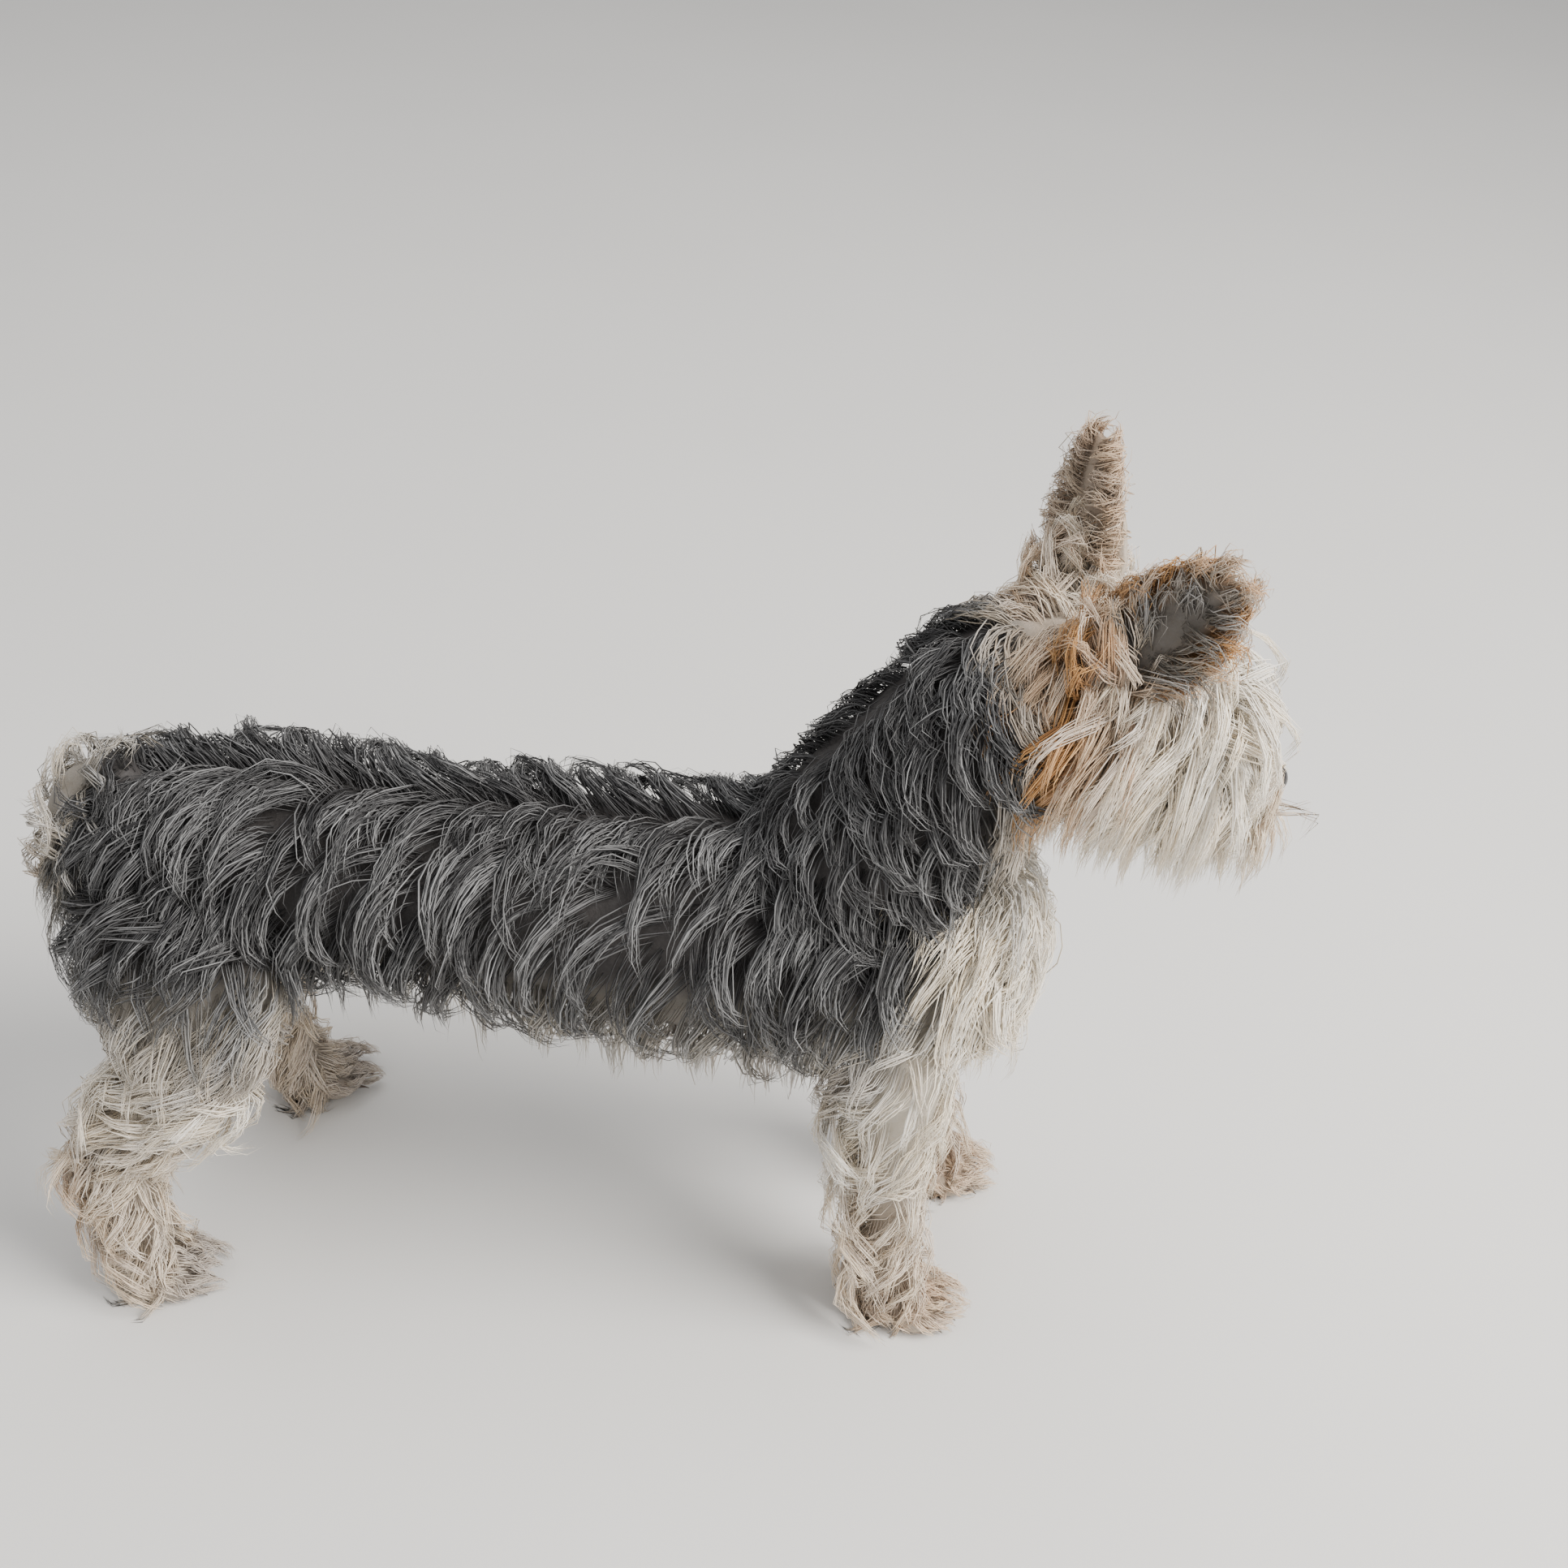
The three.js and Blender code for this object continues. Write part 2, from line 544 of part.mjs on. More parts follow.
const group = new THREE.Group();
group.name = 'yorkshire_terrier';
for (const n of nodes) {
  const mesh = n.solid.translate([-middle.x, -middle.y, 0]).getMesh();
  const geometry = new THREE.BufferGeometry();
  geometry.setAttribute('position', new THREE.BufferAttribute(mesh.vertProperties, 3));
  geometry.setIndex(new THREE.BufferAttribute(mesh.triVerts, 1));
  geometry.computeVertexNormals();
  const place = geometry.attributes.position;
  for (let i = 0; i < place.count; i++) {
    const out = new THREE.Vector3().fromBufferAttribute(geometry.attributes.normal, i);
    const p = new THREE.Vector3().fromBufferAttribute(place, i).addScaledVector(out, -DRAW_IN);
    place.setXYZ(i, p.x, p.y, Math.max(p.z, 0));
  }
  const material = new THREE.MeshStandardMaterial({ color: n.color, roughness: n.rough });
  const item = new THREE.Mesh(geometry, material);
  item.name = n.name;
  group.add(item);
}

export default group;
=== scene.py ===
# %% [markdown]
# # A Yorkshire terrier as a still, life-size model
# The dog stands side-on with its head turned a little away. Its coat is clipped, wavy and parted
# along the spine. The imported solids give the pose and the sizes. This lesson lays one skin inside
# them and grows the coat as thin strands of mesh, so that the whole dog can leave Blender as plain
# meshes. All sizes below are millimetres in the dog's own frame and become metres in `meters`.

# %% Start and load the frame
import json
import math
import bpy
import numpy as np
from mathutils import Matrix
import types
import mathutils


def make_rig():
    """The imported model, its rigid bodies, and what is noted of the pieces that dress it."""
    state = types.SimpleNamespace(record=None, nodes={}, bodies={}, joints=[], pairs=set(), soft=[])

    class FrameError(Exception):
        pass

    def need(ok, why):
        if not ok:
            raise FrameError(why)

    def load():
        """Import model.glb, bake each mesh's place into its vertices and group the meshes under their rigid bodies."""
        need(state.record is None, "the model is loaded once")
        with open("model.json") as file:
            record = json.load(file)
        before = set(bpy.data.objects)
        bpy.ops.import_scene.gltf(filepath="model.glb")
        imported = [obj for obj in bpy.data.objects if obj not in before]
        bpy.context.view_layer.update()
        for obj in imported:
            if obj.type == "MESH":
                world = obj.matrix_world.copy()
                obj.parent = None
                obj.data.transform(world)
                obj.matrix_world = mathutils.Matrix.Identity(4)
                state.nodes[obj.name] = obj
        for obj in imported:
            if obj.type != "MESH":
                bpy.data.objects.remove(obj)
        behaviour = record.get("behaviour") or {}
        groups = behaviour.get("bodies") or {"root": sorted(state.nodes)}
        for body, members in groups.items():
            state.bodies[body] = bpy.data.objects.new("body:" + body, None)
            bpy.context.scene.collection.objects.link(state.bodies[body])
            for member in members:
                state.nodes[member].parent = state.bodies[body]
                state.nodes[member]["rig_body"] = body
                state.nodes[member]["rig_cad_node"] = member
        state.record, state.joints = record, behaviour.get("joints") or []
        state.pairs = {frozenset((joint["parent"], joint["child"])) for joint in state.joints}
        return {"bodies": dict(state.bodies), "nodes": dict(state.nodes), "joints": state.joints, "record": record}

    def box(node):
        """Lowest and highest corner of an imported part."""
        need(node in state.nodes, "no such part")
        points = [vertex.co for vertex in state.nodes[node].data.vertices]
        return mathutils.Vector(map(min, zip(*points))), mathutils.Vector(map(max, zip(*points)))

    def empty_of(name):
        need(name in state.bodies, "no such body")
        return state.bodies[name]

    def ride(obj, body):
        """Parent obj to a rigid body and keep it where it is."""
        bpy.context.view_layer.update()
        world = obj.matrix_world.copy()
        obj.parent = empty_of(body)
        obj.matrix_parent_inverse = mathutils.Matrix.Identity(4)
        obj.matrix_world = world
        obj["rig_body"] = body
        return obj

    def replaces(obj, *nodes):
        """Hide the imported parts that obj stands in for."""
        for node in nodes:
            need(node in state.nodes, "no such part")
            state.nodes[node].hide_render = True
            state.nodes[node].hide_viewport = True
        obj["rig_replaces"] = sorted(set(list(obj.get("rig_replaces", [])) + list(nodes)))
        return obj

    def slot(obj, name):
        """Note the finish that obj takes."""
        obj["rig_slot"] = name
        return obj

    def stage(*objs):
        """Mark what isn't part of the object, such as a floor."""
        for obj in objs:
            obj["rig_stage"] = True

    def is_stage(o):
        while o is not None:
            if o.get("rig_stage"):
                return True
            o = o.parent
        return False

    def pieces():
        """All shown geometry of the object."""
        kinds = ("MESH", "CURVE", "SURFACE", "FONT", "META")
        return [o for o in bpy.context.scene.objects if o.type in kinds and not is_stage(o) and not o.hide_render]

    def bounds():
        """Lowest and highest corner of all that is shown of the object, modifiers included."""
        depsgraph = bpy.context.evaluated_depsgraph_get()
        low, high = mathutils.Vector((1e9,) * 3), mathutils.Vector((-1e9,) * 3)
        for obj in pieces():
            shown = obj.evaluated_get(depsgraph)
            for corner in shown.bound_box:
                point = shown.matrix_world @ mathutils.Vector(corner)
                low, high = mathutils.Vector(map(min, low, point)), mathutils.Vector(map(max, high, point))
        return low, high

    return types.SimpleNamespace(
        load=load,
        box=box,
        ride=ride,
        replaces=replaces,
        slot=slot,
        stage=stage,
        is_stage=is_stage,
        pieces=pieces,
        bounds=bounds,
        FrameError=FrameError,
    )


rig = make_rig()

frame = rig.load()
cad_box = [list(corner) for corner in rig.bounds()]
rng = np.random.default_rng(41)
RAD = math.pi / 180
print("solids:", len(frame["nodes"]))

# %% [markdown]
# ## The head's frame and the row's frame
# Places on the head are given ahead, left and above the middle of the skull, because the head is
# turned and tipped down. The right eye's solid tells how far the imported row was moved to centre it.

# %% Places on the head and in the row
HEAD_AT = np.array([190.0, 2.0, 268.0])
HEAD_TURN = 10
HEAD_DROP = 22
EYE = (33.5, 15.0, 6.0)
EYE_RADIUS = 6.2
EAR_LENGTH = 54
EAR_WIDTH = 17


def turned(z_deg, y_deg):
    a, b = z_deg * RAD, y_deg * RAD
    turn_z = np.array([[math.cos(a), -math.sin(a), 0], [math.sin(a), math.cos(a), 0], [0, 0, 1]])
    turn_y = np.array([[math.cos(b), 0, math.sin(b)], [0, 1, 0], [-math.sin(b), 0, math.cos(b)]])
    return turn_z @ turn_y


head_axes = turned(HEAD_TURN, HEAD_DROP)


def on_head(ahead, left, above):
    return head_axes @ np.array([ahead, left, above], float) + HEAD_AT


def unit(v):
    v = np.asarray(v, float)
    return v / np.maximum(np.linalg.norm(v, axis=-1, keepdims=True), 1e-9)


low, high = (np.array(c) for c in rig.box("eye_right"))
row_shift = (low + high) / 2 - on_head(EYE[0], -EYE[1], EYE[2]) / 1000


def meters(points):
    return np.asarray(points, float) / 1000 + row_shift


print("row shift (mm):", np.round(row_shift * 1000, 1))

# %% [markdown]
# ## Rounded forms
# Each part of the body is a row of stations along a spine: a place, a half height and a half
# width. A smooth curve runs through them. The same form makes the skin and tells the coat where
# it grows and which way it lies, so skin and coat can't drift apart.

# %% Forms with a surface that can be asked for places and directions
class Form:
    def __init__(self, stations, up, bends=False):
        self.stations = np.array(stations, float)
        self.up = unit(up)
        self.bends = bends

    def row(self, u):
        s = self.stations
        n = len(s)
        f = np.clip(u, 0, 1) * (n - 1)
        i = np.minimum(f.astype(int), n - 2)
        t = (f - i)[:, None]
        p0, p1, p2, p3 = s[np.maximum(i - 1, 0)], s[i], s[i + 1], s[np.minimum(i + 2, n - 1)]
        return 0.5 * (2 * p1 + (p2 - p0) * t + (2 * p0 - 5 * p1 + 4 * p2 - p3) * t * t
                      + (3 * p1 - p0 - 3 * p2 + p3) * t ** 3)

    def axes(self, u):
        near = (np.maximum(u - 0.01, 0), np.minimum(u + 0.01, 1)) if self.bends else (u * 0, u * 0 + 1)
        along = unit(self.row(near[1])[:, :3] - self.row(near[0])[:, :3])
        up = unit(self.up - along * (along @ self.up)[:, None])
        return along, up, np.cross(along, up)

    def at(self, u, turn, grow=0.0):
        u, turn = np.broadcast_arrays(np.atleast_1d(np.asarray(u, float)), np.asarray(turn, float))
        r = self.row(u)
        _, up, side = self.axes(u)
        c, s = np.cos(turn * RAD)[:, None], np.sin(turn * RAD)[:, None]
        return (r[:, :3] + up * (np.maximum(r[:, 3:4], 0.5) + grow) * c
                + side * (np.maximum(r[:, 4:5], 0.5) + grow) * s)

    def directions(self, u, turn):
        d = 0.004
        u = np.clip(u, d, 1 - d)
        du = self.at(u + d, turn) - self.at(u - d, turn)
        dv = self.at(u, turn + 0.5) - self.at(u, turn - 0.5)
        size_u = np.maximum(np.linalg.norm(du, axis=1) / (2 * d), 20)
        size_v = np.maximum(np.linalg.norm(dv, axis=1), 0.08)
        return unit(du), unit(dv), unit(np.cross(dv, du)), size_u, size_v


def head_row(ahead, left, above, half_high, half_wide):
    return [*on_head(ahead, left, above), half_high, half_wide]


head_up = head_axes @ np.array([0, 0, 1.0])
torso = Form([
    [-149, 0, 180, 12, 13], [-141, 0, 180, 25, 26], [-118, 0, 181, 31, 36], [-85, 0, 180, 33, 39],
    [-45, 0, 176, 34, 40], [0, 0, 171, 38, 41], [45, 0, 166, 42, 42], [90, 0, 165, 45, 43],
    [125, 0, 166, 43, 42], [152, 0, 163, 37, 37], [166, 0, 162, 28, 30], [174, 0, 161, 13, 15]], (0, 0, 1))
neck = Form([
    [96, 0, 165, 26, 26], [106, 0, 183, 38, 38], [122, 0, 211, 37, 38], [139, 0, 240, 33, 36],
    [155, 0, 266, 29, 33], [166, 1, 282, 22, 26], [172, 1, 292, 10, 12]], (-0.87, 0, 0.49))
skull = Form([
    head_row(-37, 0, 0, 12, 12), head_row(-32, 0, 0, 22, 22), head_row(-18, 0, 1, 30, 32),
    head_row(2, 0, 1, 32, 34), head_row(20, 0, 0, 29, 31), head_row(32, 0, -2, 22, 24),
    head_row(38, 0, -3, 12, 14)], head_up)
muzzle = Form([
    head_row(6, 0, -10, 20, 26), head_row(24, 0, -11, 21, 26), head_row(42, 0, -12, 18, 21),
    head_row(56, 0, -12, 14, 16), head_row(65, 0, -11, 10, 11), head_row(69, 0, -11, 5, 6)], head_up)
tail = Form([
    [-126, 0, 201, 10, 10], [-138, 0, 205, 13, 14], [-150, 0, 200, 13, 15], [-157, 0, 187, 12, 14],
    [-159, 0, 172, 10, 12], [-158, 0, 163, 5, 6]], (-0.2, 0, 1), bends=True)


def fore_leg(side, x, y):
    return Form([
        [x - 14, side * 26, 158, 15, 12], [x - 13, side * 31, 145, 20, 15], [x - 12, y, 122, 19, 15],
        [x - 10, y, 95, 14, 13], [x - 9, y, 68, 12, 11], [x - 7, y, 42, 11, 11],
        [x - 4, y, 24, 12, 12], [x - 2, y, 14, 9, 10]], (1, 0, 0))


def thigh(x, side):
    return Form([
        [x - 4, side * 27, 192, 16, 8], [x - 2, side * 33, 182, 29, 13], [x + 1, side * 38, 163, 36, 16],
        [x + 6, side * 42, 142, 32, 17], [x + 6, side * 45, 124, 24, 16], [x + 2, side * 47, 112, 14, 12],
    ], (1, 0, 0))


def shank(knee_x, hock_x, y):
    mid = (knee_x + hock_x) / 2
    inward = math.copysign(1, y)
    return Form([
        [knee_x + 2, y - 2 * inward, 126, 13, 10], [knee_x - 4, y - inward, 116, 18, 14],
        [mid - 2, y, 99, 18, 14], [hock_x + 5, y, 83, 15, 12], [hock_x - 1, y, 74, 9, 8]], (1, 0, 0.5))


def pastern(hock_x, foot_x, y):
    mid = (hock_x + foot_x) / 2
    return Form([
        [hock_x - 2, y, 84, 7, 7], [hock_x - 1, y, 74, 12, 11], [mid - 1, y, 54, 12, 11],
        [mid + 1, y, 34, 11, 11], [foot_x, y, 20, 11, 11], [foot_x + 2, y, 12, 8, 9]], (1, 0, 0))


fore_legs = [fore_leg(-1, 148, -35), fore_leg(1, 162, 33)]
thighs = [thigh(-112, -1), thigh(-98, 1)]
shanks = [shank(-99, -143, -48), shank(-78, -116, 54)]
pasterns = [pastern(-145, -140, -48), pastern(-118, -108, 54)]
TOES = ((-1.5, 5), (-0.5, 9), (0.5, 9), (1.5, 5))
PAWS = {"fore_right": (148, -35, -4), "fore_left": (162, 33, 4),
        "hind_right": (-137, -48, 10), "hind_left": (-102, 58, 28)}
print("forms ready")

# %% [markdown]
# ## Mesh helpers
# A mesh is built from arrays: places, then faces. Rings of equal count make a closed skin. An egg
# makes toes, pads and eyes.

# %% Meshes from arrays
def mesh_object(name, places, quads, tris=None):
    counts = [4] * len(quads) + [3] * (0 if tris is None else len(tris))
    loops = np.concatenate([np.asarray(quads, int).ravel(),
                            np.zeros(0, int) if tris is None else np.asarray(tris, int).ravel()])
    data = bpy.data.meshes.new(name)
    data.vertices.add(len(places))
    data.vertices.foreach_set("co", np.ascontiguousarray(places, np.float32).ravel())
    data.loops.add(len(loops))
    data.loops.foreach_set("vertex_index", loops.astype(np.int32))
    data.polygons.add(len(counts))
    starts = np.concatenate([[0], np.cumsum(counts)[:-1]]).astype(np.int32)
    data.polygons.foreach_set("loop_start", starts)
    data.update(calc_edges=True)
    data.validate()
    item = bpy.data.objects.new(name, data)
    bpy.context.collection.objects.link(item)
    return item


def closed_rings(rings, first, last):
    count, sides = len(rings), len(rings[0])
    places = np.concatenate([np.concatenate(rings), [first, last]])
    quads, tris = [], []
    for i in range(count - 1):
        for k in range(sides):
            j = (k + 1) % sides
            quads.append((i * sides + k, i * sides + j, (i + 1) * sides + j, (i + 1) * sides + k))
    top = (count - 1) * sides
    for k in range(sides):
        j = (k + 1) % sides
        tris.append((count * sides, j, k))
        tris.append((count * sides + 1, top + k, top + j))
    return places, quads, tris


def form_rings(form, rings, sides, grow):
    turns = np.arange(sides) * 360 / sides
    us = np.linspace(0, 1, rings)
    list_of = [form.at(np.full(sides, u), turns, grow) for u in us]
    along0, along1 = form.axes(np.array([0.0]))[0][0], form.axes(np.array([1.0]))[0][0]
    first = form.row(np.array([0.0]))[0, :3] - along0 * (1.5 + grow)
    last = form.row(np.array([1.0]))[0, :3] + along1 * (1.5 + grow)
    return closed_rings(list_of, first, last)


def egg_rings(center, half, sides, place=lambda p: p):
    rings = []
    steps = sides // 2
    for i in range(1, steps):
        t = math.pi * i / steps
        s = np.arange(sides) * 2 * math.pi / sides
        rings.append(place(np.stack([center[0] - half[0] * math.cos(t) + 0 * s,
                                     center[1] + half[1] * math.sin(t) * np.cos(s),
                                     center[2] + half[2] * math.sin(t) * np.sin(s)], 1)))
    ends = place(np.array([[center[0] - half[0], center[1], center[2]],
                           [center[0] + half[0], center[1], center[2]]], float))
    return closed_rings(rings, ends[0], ends[1])


def joined(name, parts):
    places, quads, tris, start = [], [], [], 0
    for p, q, t in parts:
        places.append(p)
        quads += [tuple(v + start for v in f) for f in q]
        tris += [tuple(v + start for v in f) for f in t]
        start += len(p)
    return mesh_object(name, meters(np.concatenate(places)), quads, tris)


def smooth(item):
    item.data.polygons.foreach_set("use_smooth", np.ones(len(item.data.polygons), bool))


def to_head(p):
    return p @ head_axes.T + HEAD_AT

# %% [markdown]
# ## The skin
# On the real dog one skin runs over the whole body. Overlapping closed forms are fused by a fine
# voxel remesh and then smoothed, which leaves no seam. Lids are added as rounded bands before
# the fusing. The skin lies a few millimetres inside the solids.

# %% One fused skin
COAT_DEPTH = -3.5
MUZZLE_DEPTH = -6.0
SKIN_DETAIL = 0.0018
FLOOR_GAP = 0.0003


def band(places, half_high, half_deep):
    places = np.array(places)
    go = unit(np.gradient(places, axis=0))
    out = unit(np.cross(go, head_up))
    up = np.cross(out, go)
    rings = [np.stack([p + o * half_deep * math.cos(a) - w * half_high * math.sin(a)
                       for a in np.arange(8) * math.pi / 4])
             for p, o, w in zip(places, out, up)]
    return closed_rings(rings, places[0] - go[0] * half_deep, places[-1] + go[-1] * half_deep)


def lid_places(side, way, count=9):
    axis = (0.74, side * 0.62)
    places = []
    for a in np.linspace(0.03, 0.97, count) * math.pi:
        r = EYE_RADIUS + 0.5
        across, above = r * math.cos(a), way * r * 0.6 * math.sin(a)
        deep = math.sqrt(max(r * r - across * across - above * above, 0))
        places.append(on_head(EYE[0] + axis[0] * deep - side * axis[1] * across * 0.95,
                              side * EYE[1] + axis[1] * deep + side * axis[0] * across, EYE[2] + above))
    return places


def paw_parts(x, y, aim):
    axes = turned(aim, 0)
    place = lambda p: p @ axes.T + np.array([x, y, 0.0])
    parts = [egg_rings((-3, 0, 9), (14.4, 10.8, 10.4), 20, place)]
    for k, ahead in TOES:
        parts.append(egg_rings((ahead, k * 6.75, 6.0), (8.4, 3.6, 6.0), 14, place))
    return parts


skin_parts = [form_rings(torso, 40, 40, COAT_DEPTH), form_rings(neck, 24, 36, COAT_DEPTH),
              form_rings(skull, 24, 32, COAT_DEPTH), form_rings(muzzle, 20, 28, MUZZLE_DEPTH),
              form_rings(tail, 20, 20, COAT_DEPTH)]
for leg in fore_legs + thighs + shanks + pasterns:
    skin_parts.append(form_rings(leg, 22, 20, COAT_DEPTH))
for spot in PAWS.values():
    skin_parts += paw_parts(*spot)
for side in (1, -1):
    skin_parts += [band(lid_places(side, way), 1.4, 1.6) for way in (1, -1)]
skin = joined("dog_skin", skin_parts)
remesh = skin.modifiers.new("fuse", "REMESH")
remesh.mode = "VOXEL"
remesh.voxel_size = SKIN_DETAIL
relax = skin.modifiers.new("relax", "SMOOTH")
relax.factor = 0.5
relax.iterations = 4
bpy.context.view_layer.update()
skin_mesh = bpy.data.meshes.new_from_object(skin.evaluated_get(bpy.context.evaluated_depsgraph_get()))
skin.modifiers.clear()
skin.data = skin_mesh
for corner in skin_mesh.vertices:
    corner.co.z = max(corner.co.z, FLOOR_GAP)
smooth(skin)
print("skin faces:", len(skin.data.polygons))

# %% [markdown]
# ## Sums on sockets and one way to add a node
# Shader sums read best as plain expressions, so a small class wraps a socket and turns + - * /
# into Math nodes. Everything else goes through one method, `node`, which takes a type, settings
# and socket values or links. It serves shader trees and geometry trees alike.

# %% Expressions on sockets
class Value:
    def __init__(self, tree, socket):
        self.tree, self.socket = tree, socket

    def math(self, operation, other, flip=False):
        item = self.tree.nodes.new("ShaderNodeMath")
        item.operation = operation
        for place, v in zip(item.inputs, (other, self) if flip else (self, other)):
            if isinstance(v, Value):
                self.tree.links.new(v.socket, place)
            else:
                place.default_value = v
        return Value(self.tree, item.outputs[0])

    def __add__(self, other):
        return self.math("ADD", other)

    def __radd__(self, other):
        return self.math("ADD", other, True)

    def __sub__(self, other):
        return self.math("SUBTRACT", other)

    def __rsub__(self, other):
        return self.math("SUBTRACT", other, True)

    def __mul__(self, other):
        return self.math("MULTIPLY", other)

    def __rmul__(self, other):
        return self.math("MULTIPLY", other, True)

    def __truediv__(self, other):
        return self.math("DIVIDE", other)

    def __rtruediv__(self, other):
        return self.math("DIVIDE", other, True)

    def clip(self):
        return self.math("MAXIMUM", 0.0).math("MINIMUM", 1.0)


class Graph:
    def __init__(self, tree):
        self.tree = tree

    def node(self, kind, output=0, settings=None, **values):
        item = self.tree.nodes.new(kind)
        for key, value in (settings or {}).items():
            setattr(item, key, value)
        for key, value in values.items():
            place = item.inputs[int(key[1:])] if key[0] == "_" else item.inputs[key.replace("_", " ")]
            if isinstance(value, Value):
                self.tree.links.new(value.socket, place)
            else:
                place.default_value = value
        return Value(self.tree, item.outputs[output])


class Finish(Graph):
    def __init__(self, name, **constants):
        self.material = bpy.data.materials.new(name)
        self.material.use_nodes = True
        super().__init__(self.material.node_tree)
        self.shader = self.tree.nodes["Principled BSDF"]
        for key, value in constants.items():
            self.shader.inputs[key.replace("_", " ")].default_value = value

    def mix(self, factor, a, b):
        a, b = (c if isinstance(c, Value) else (*c, 1) for c in (a, b))
        return self.node("ShaderNodeMix", 2, {"data_type": "RGBA"}, _0=factor, _6=a, _7=b)

    def parts(self, vector):
        return [self.node("ShaderNodeSeparateXYZ", i, _0=vector) for i in range(3)]

    def attribute(self, name):
        return self.node("ShaderNodeAttribute", 1, {"attribute_name": name})

    def noise(self, scale, detail=3.0):
        place = self.node("ShaderNodeTexCoord", 3)
        return self.node("ShaderNodeTexNoise", 0, Vector=place, Scale=scale, Detail=detail)

    def plug(self, socket, value):
        self.tree.links.new(value.socket, self.shader.inputs[socket])

    def bump(self, height, strength, distance):
        self.plug("Normal", self.node("ShaderNodeBump", Height=height, Strength=strength, Distance=distance))

# %% [markdown]
# ## Ears, nose, claws and eyes
# The ear is a thin leaf-shaped cup that stands on the skull. The right one tips forward, the left
# one stands up. The nose leather is an egg with two nostrils pressed in. Each toe ends in a
# curved claw, and the eyes are set deep behind the lids.

# %% Ear cups
EARS = {"right": (on_head(-19, -23, 22), (27, -14, 42), (0.35, 0.85, -0.1)),
        "left": (on_head(-19, 23, 22), (3, 4, 50), (0.9, 0.4, 0.1))}


def ear_axes(aim, face):
    up = unit(aim)
    front = unit(np.array(face) - up * (up @ np.array(face)))
    return up, front, np.cross(up, front)


def ear_cup(name, root, aim, face, thick=1.6):
    up, front, side = ear_axes(aim, face)
    rows, across = 16, 14
    widths = np.interp(np.linspace(0, 1, rows), np.linspace(0, 1, 6), [0.62, 0.92, 1, 0.86, 0.56, 0.12])
    rings = []
    for i, w in enumerate(widths):
        f = i / (rows - 1)
        cup = 9 * w * (1 - 0.35 * f)
        s = np.linspace(-1, 1, across)[:, None]
        middle = root + up * EAR_LENGTH * (-0.12 + 1.08 * f) + side * EAR_WIDTH * w * s
        middle = middle + front * (cup * s * s - 3)
        rings.append(np.concatenate([middle + front * thick / 2, (middle - front * thick / 2)[::-1]]))
    first, last = rings[0].mean(0), rings[-1].mean(0)
    item = joined(name, [closed_rings(rings, first, last)])
    smooth(item)
    return item


ears = {side: ear_cup("ear_cup_" + side, *place) for side, place in EARS.items()}

# %% [markdown]
# ### Nose leather and eyes
# The nose leather is a firm, hairless pad with two nostrils that open sideways. It could be carved
# with Booleans, but pushing the points of an egg inwards keeps the rims soft. An eye is a plain
# ball, because only its front shows between the lids.

# %% Nose leather and eyes
def from_parts(name, parts):
    item = joined(name, parts)
    smooth(item)
    return item


def nose_piece():
    p, q, t = egg_rings((70, 0, -8), (5.6, 6.6, 5.6), 40)
    for side in (1, -1):
        pits = (((75.2, side * 3.0, -9.0), 1.9, 2.6), ((73.6, side * 5.4, -9.6), 1.5, 1.6))
        for center, wide, deep in pits:
            gap = np.linalg.norm((p - np.array(center)) / np.array([1.6, 1, 0.9]), axis=1)
            p = p - np.array([1.0, 0, 0]) * (deep * np.exp(-(gap / wide) ** 2))[:, None]
    p[:, 0] -= 0.9 * np.exp(-(p[:, 1] / 0.7) ** 2) * (p[:, 2] < -8)
    return from_parts("nose_leather", [(to_head(p), q, t)])


nose = nose_piece()
eyes = {}
for name, side in (("right", -1), ("left", 1)):
    eyes[name] = from_parts("eyeball_" + name, [egg_rings(
        on_head(EYE[0], side * EYE[1], EYE[2]), (EYE_RADIUS,) * 3, 36)])
print("ears, nose and eyes made")

# %% [markdown]
# ### Claws
# Every paw has four like claws: horn that leaves the toe level, droops and tapers to a blunt
# point. One geometry tree bends a tapered tube and sets it on four points, each a little larger or
# smaller by a fixed seed. The result is turned into a plain mesh before it is used.

# %% A tree for the claws of one paw
claw_finish = Finish("claw_horn", Roughness=0.35)
streak = claw_finish.noise(700.0)
claw_finish.plug("Base Color", claw_finish.mix(streak, (0.03, 0.022, 0.018), (0.16, 0.12, 0.09)))


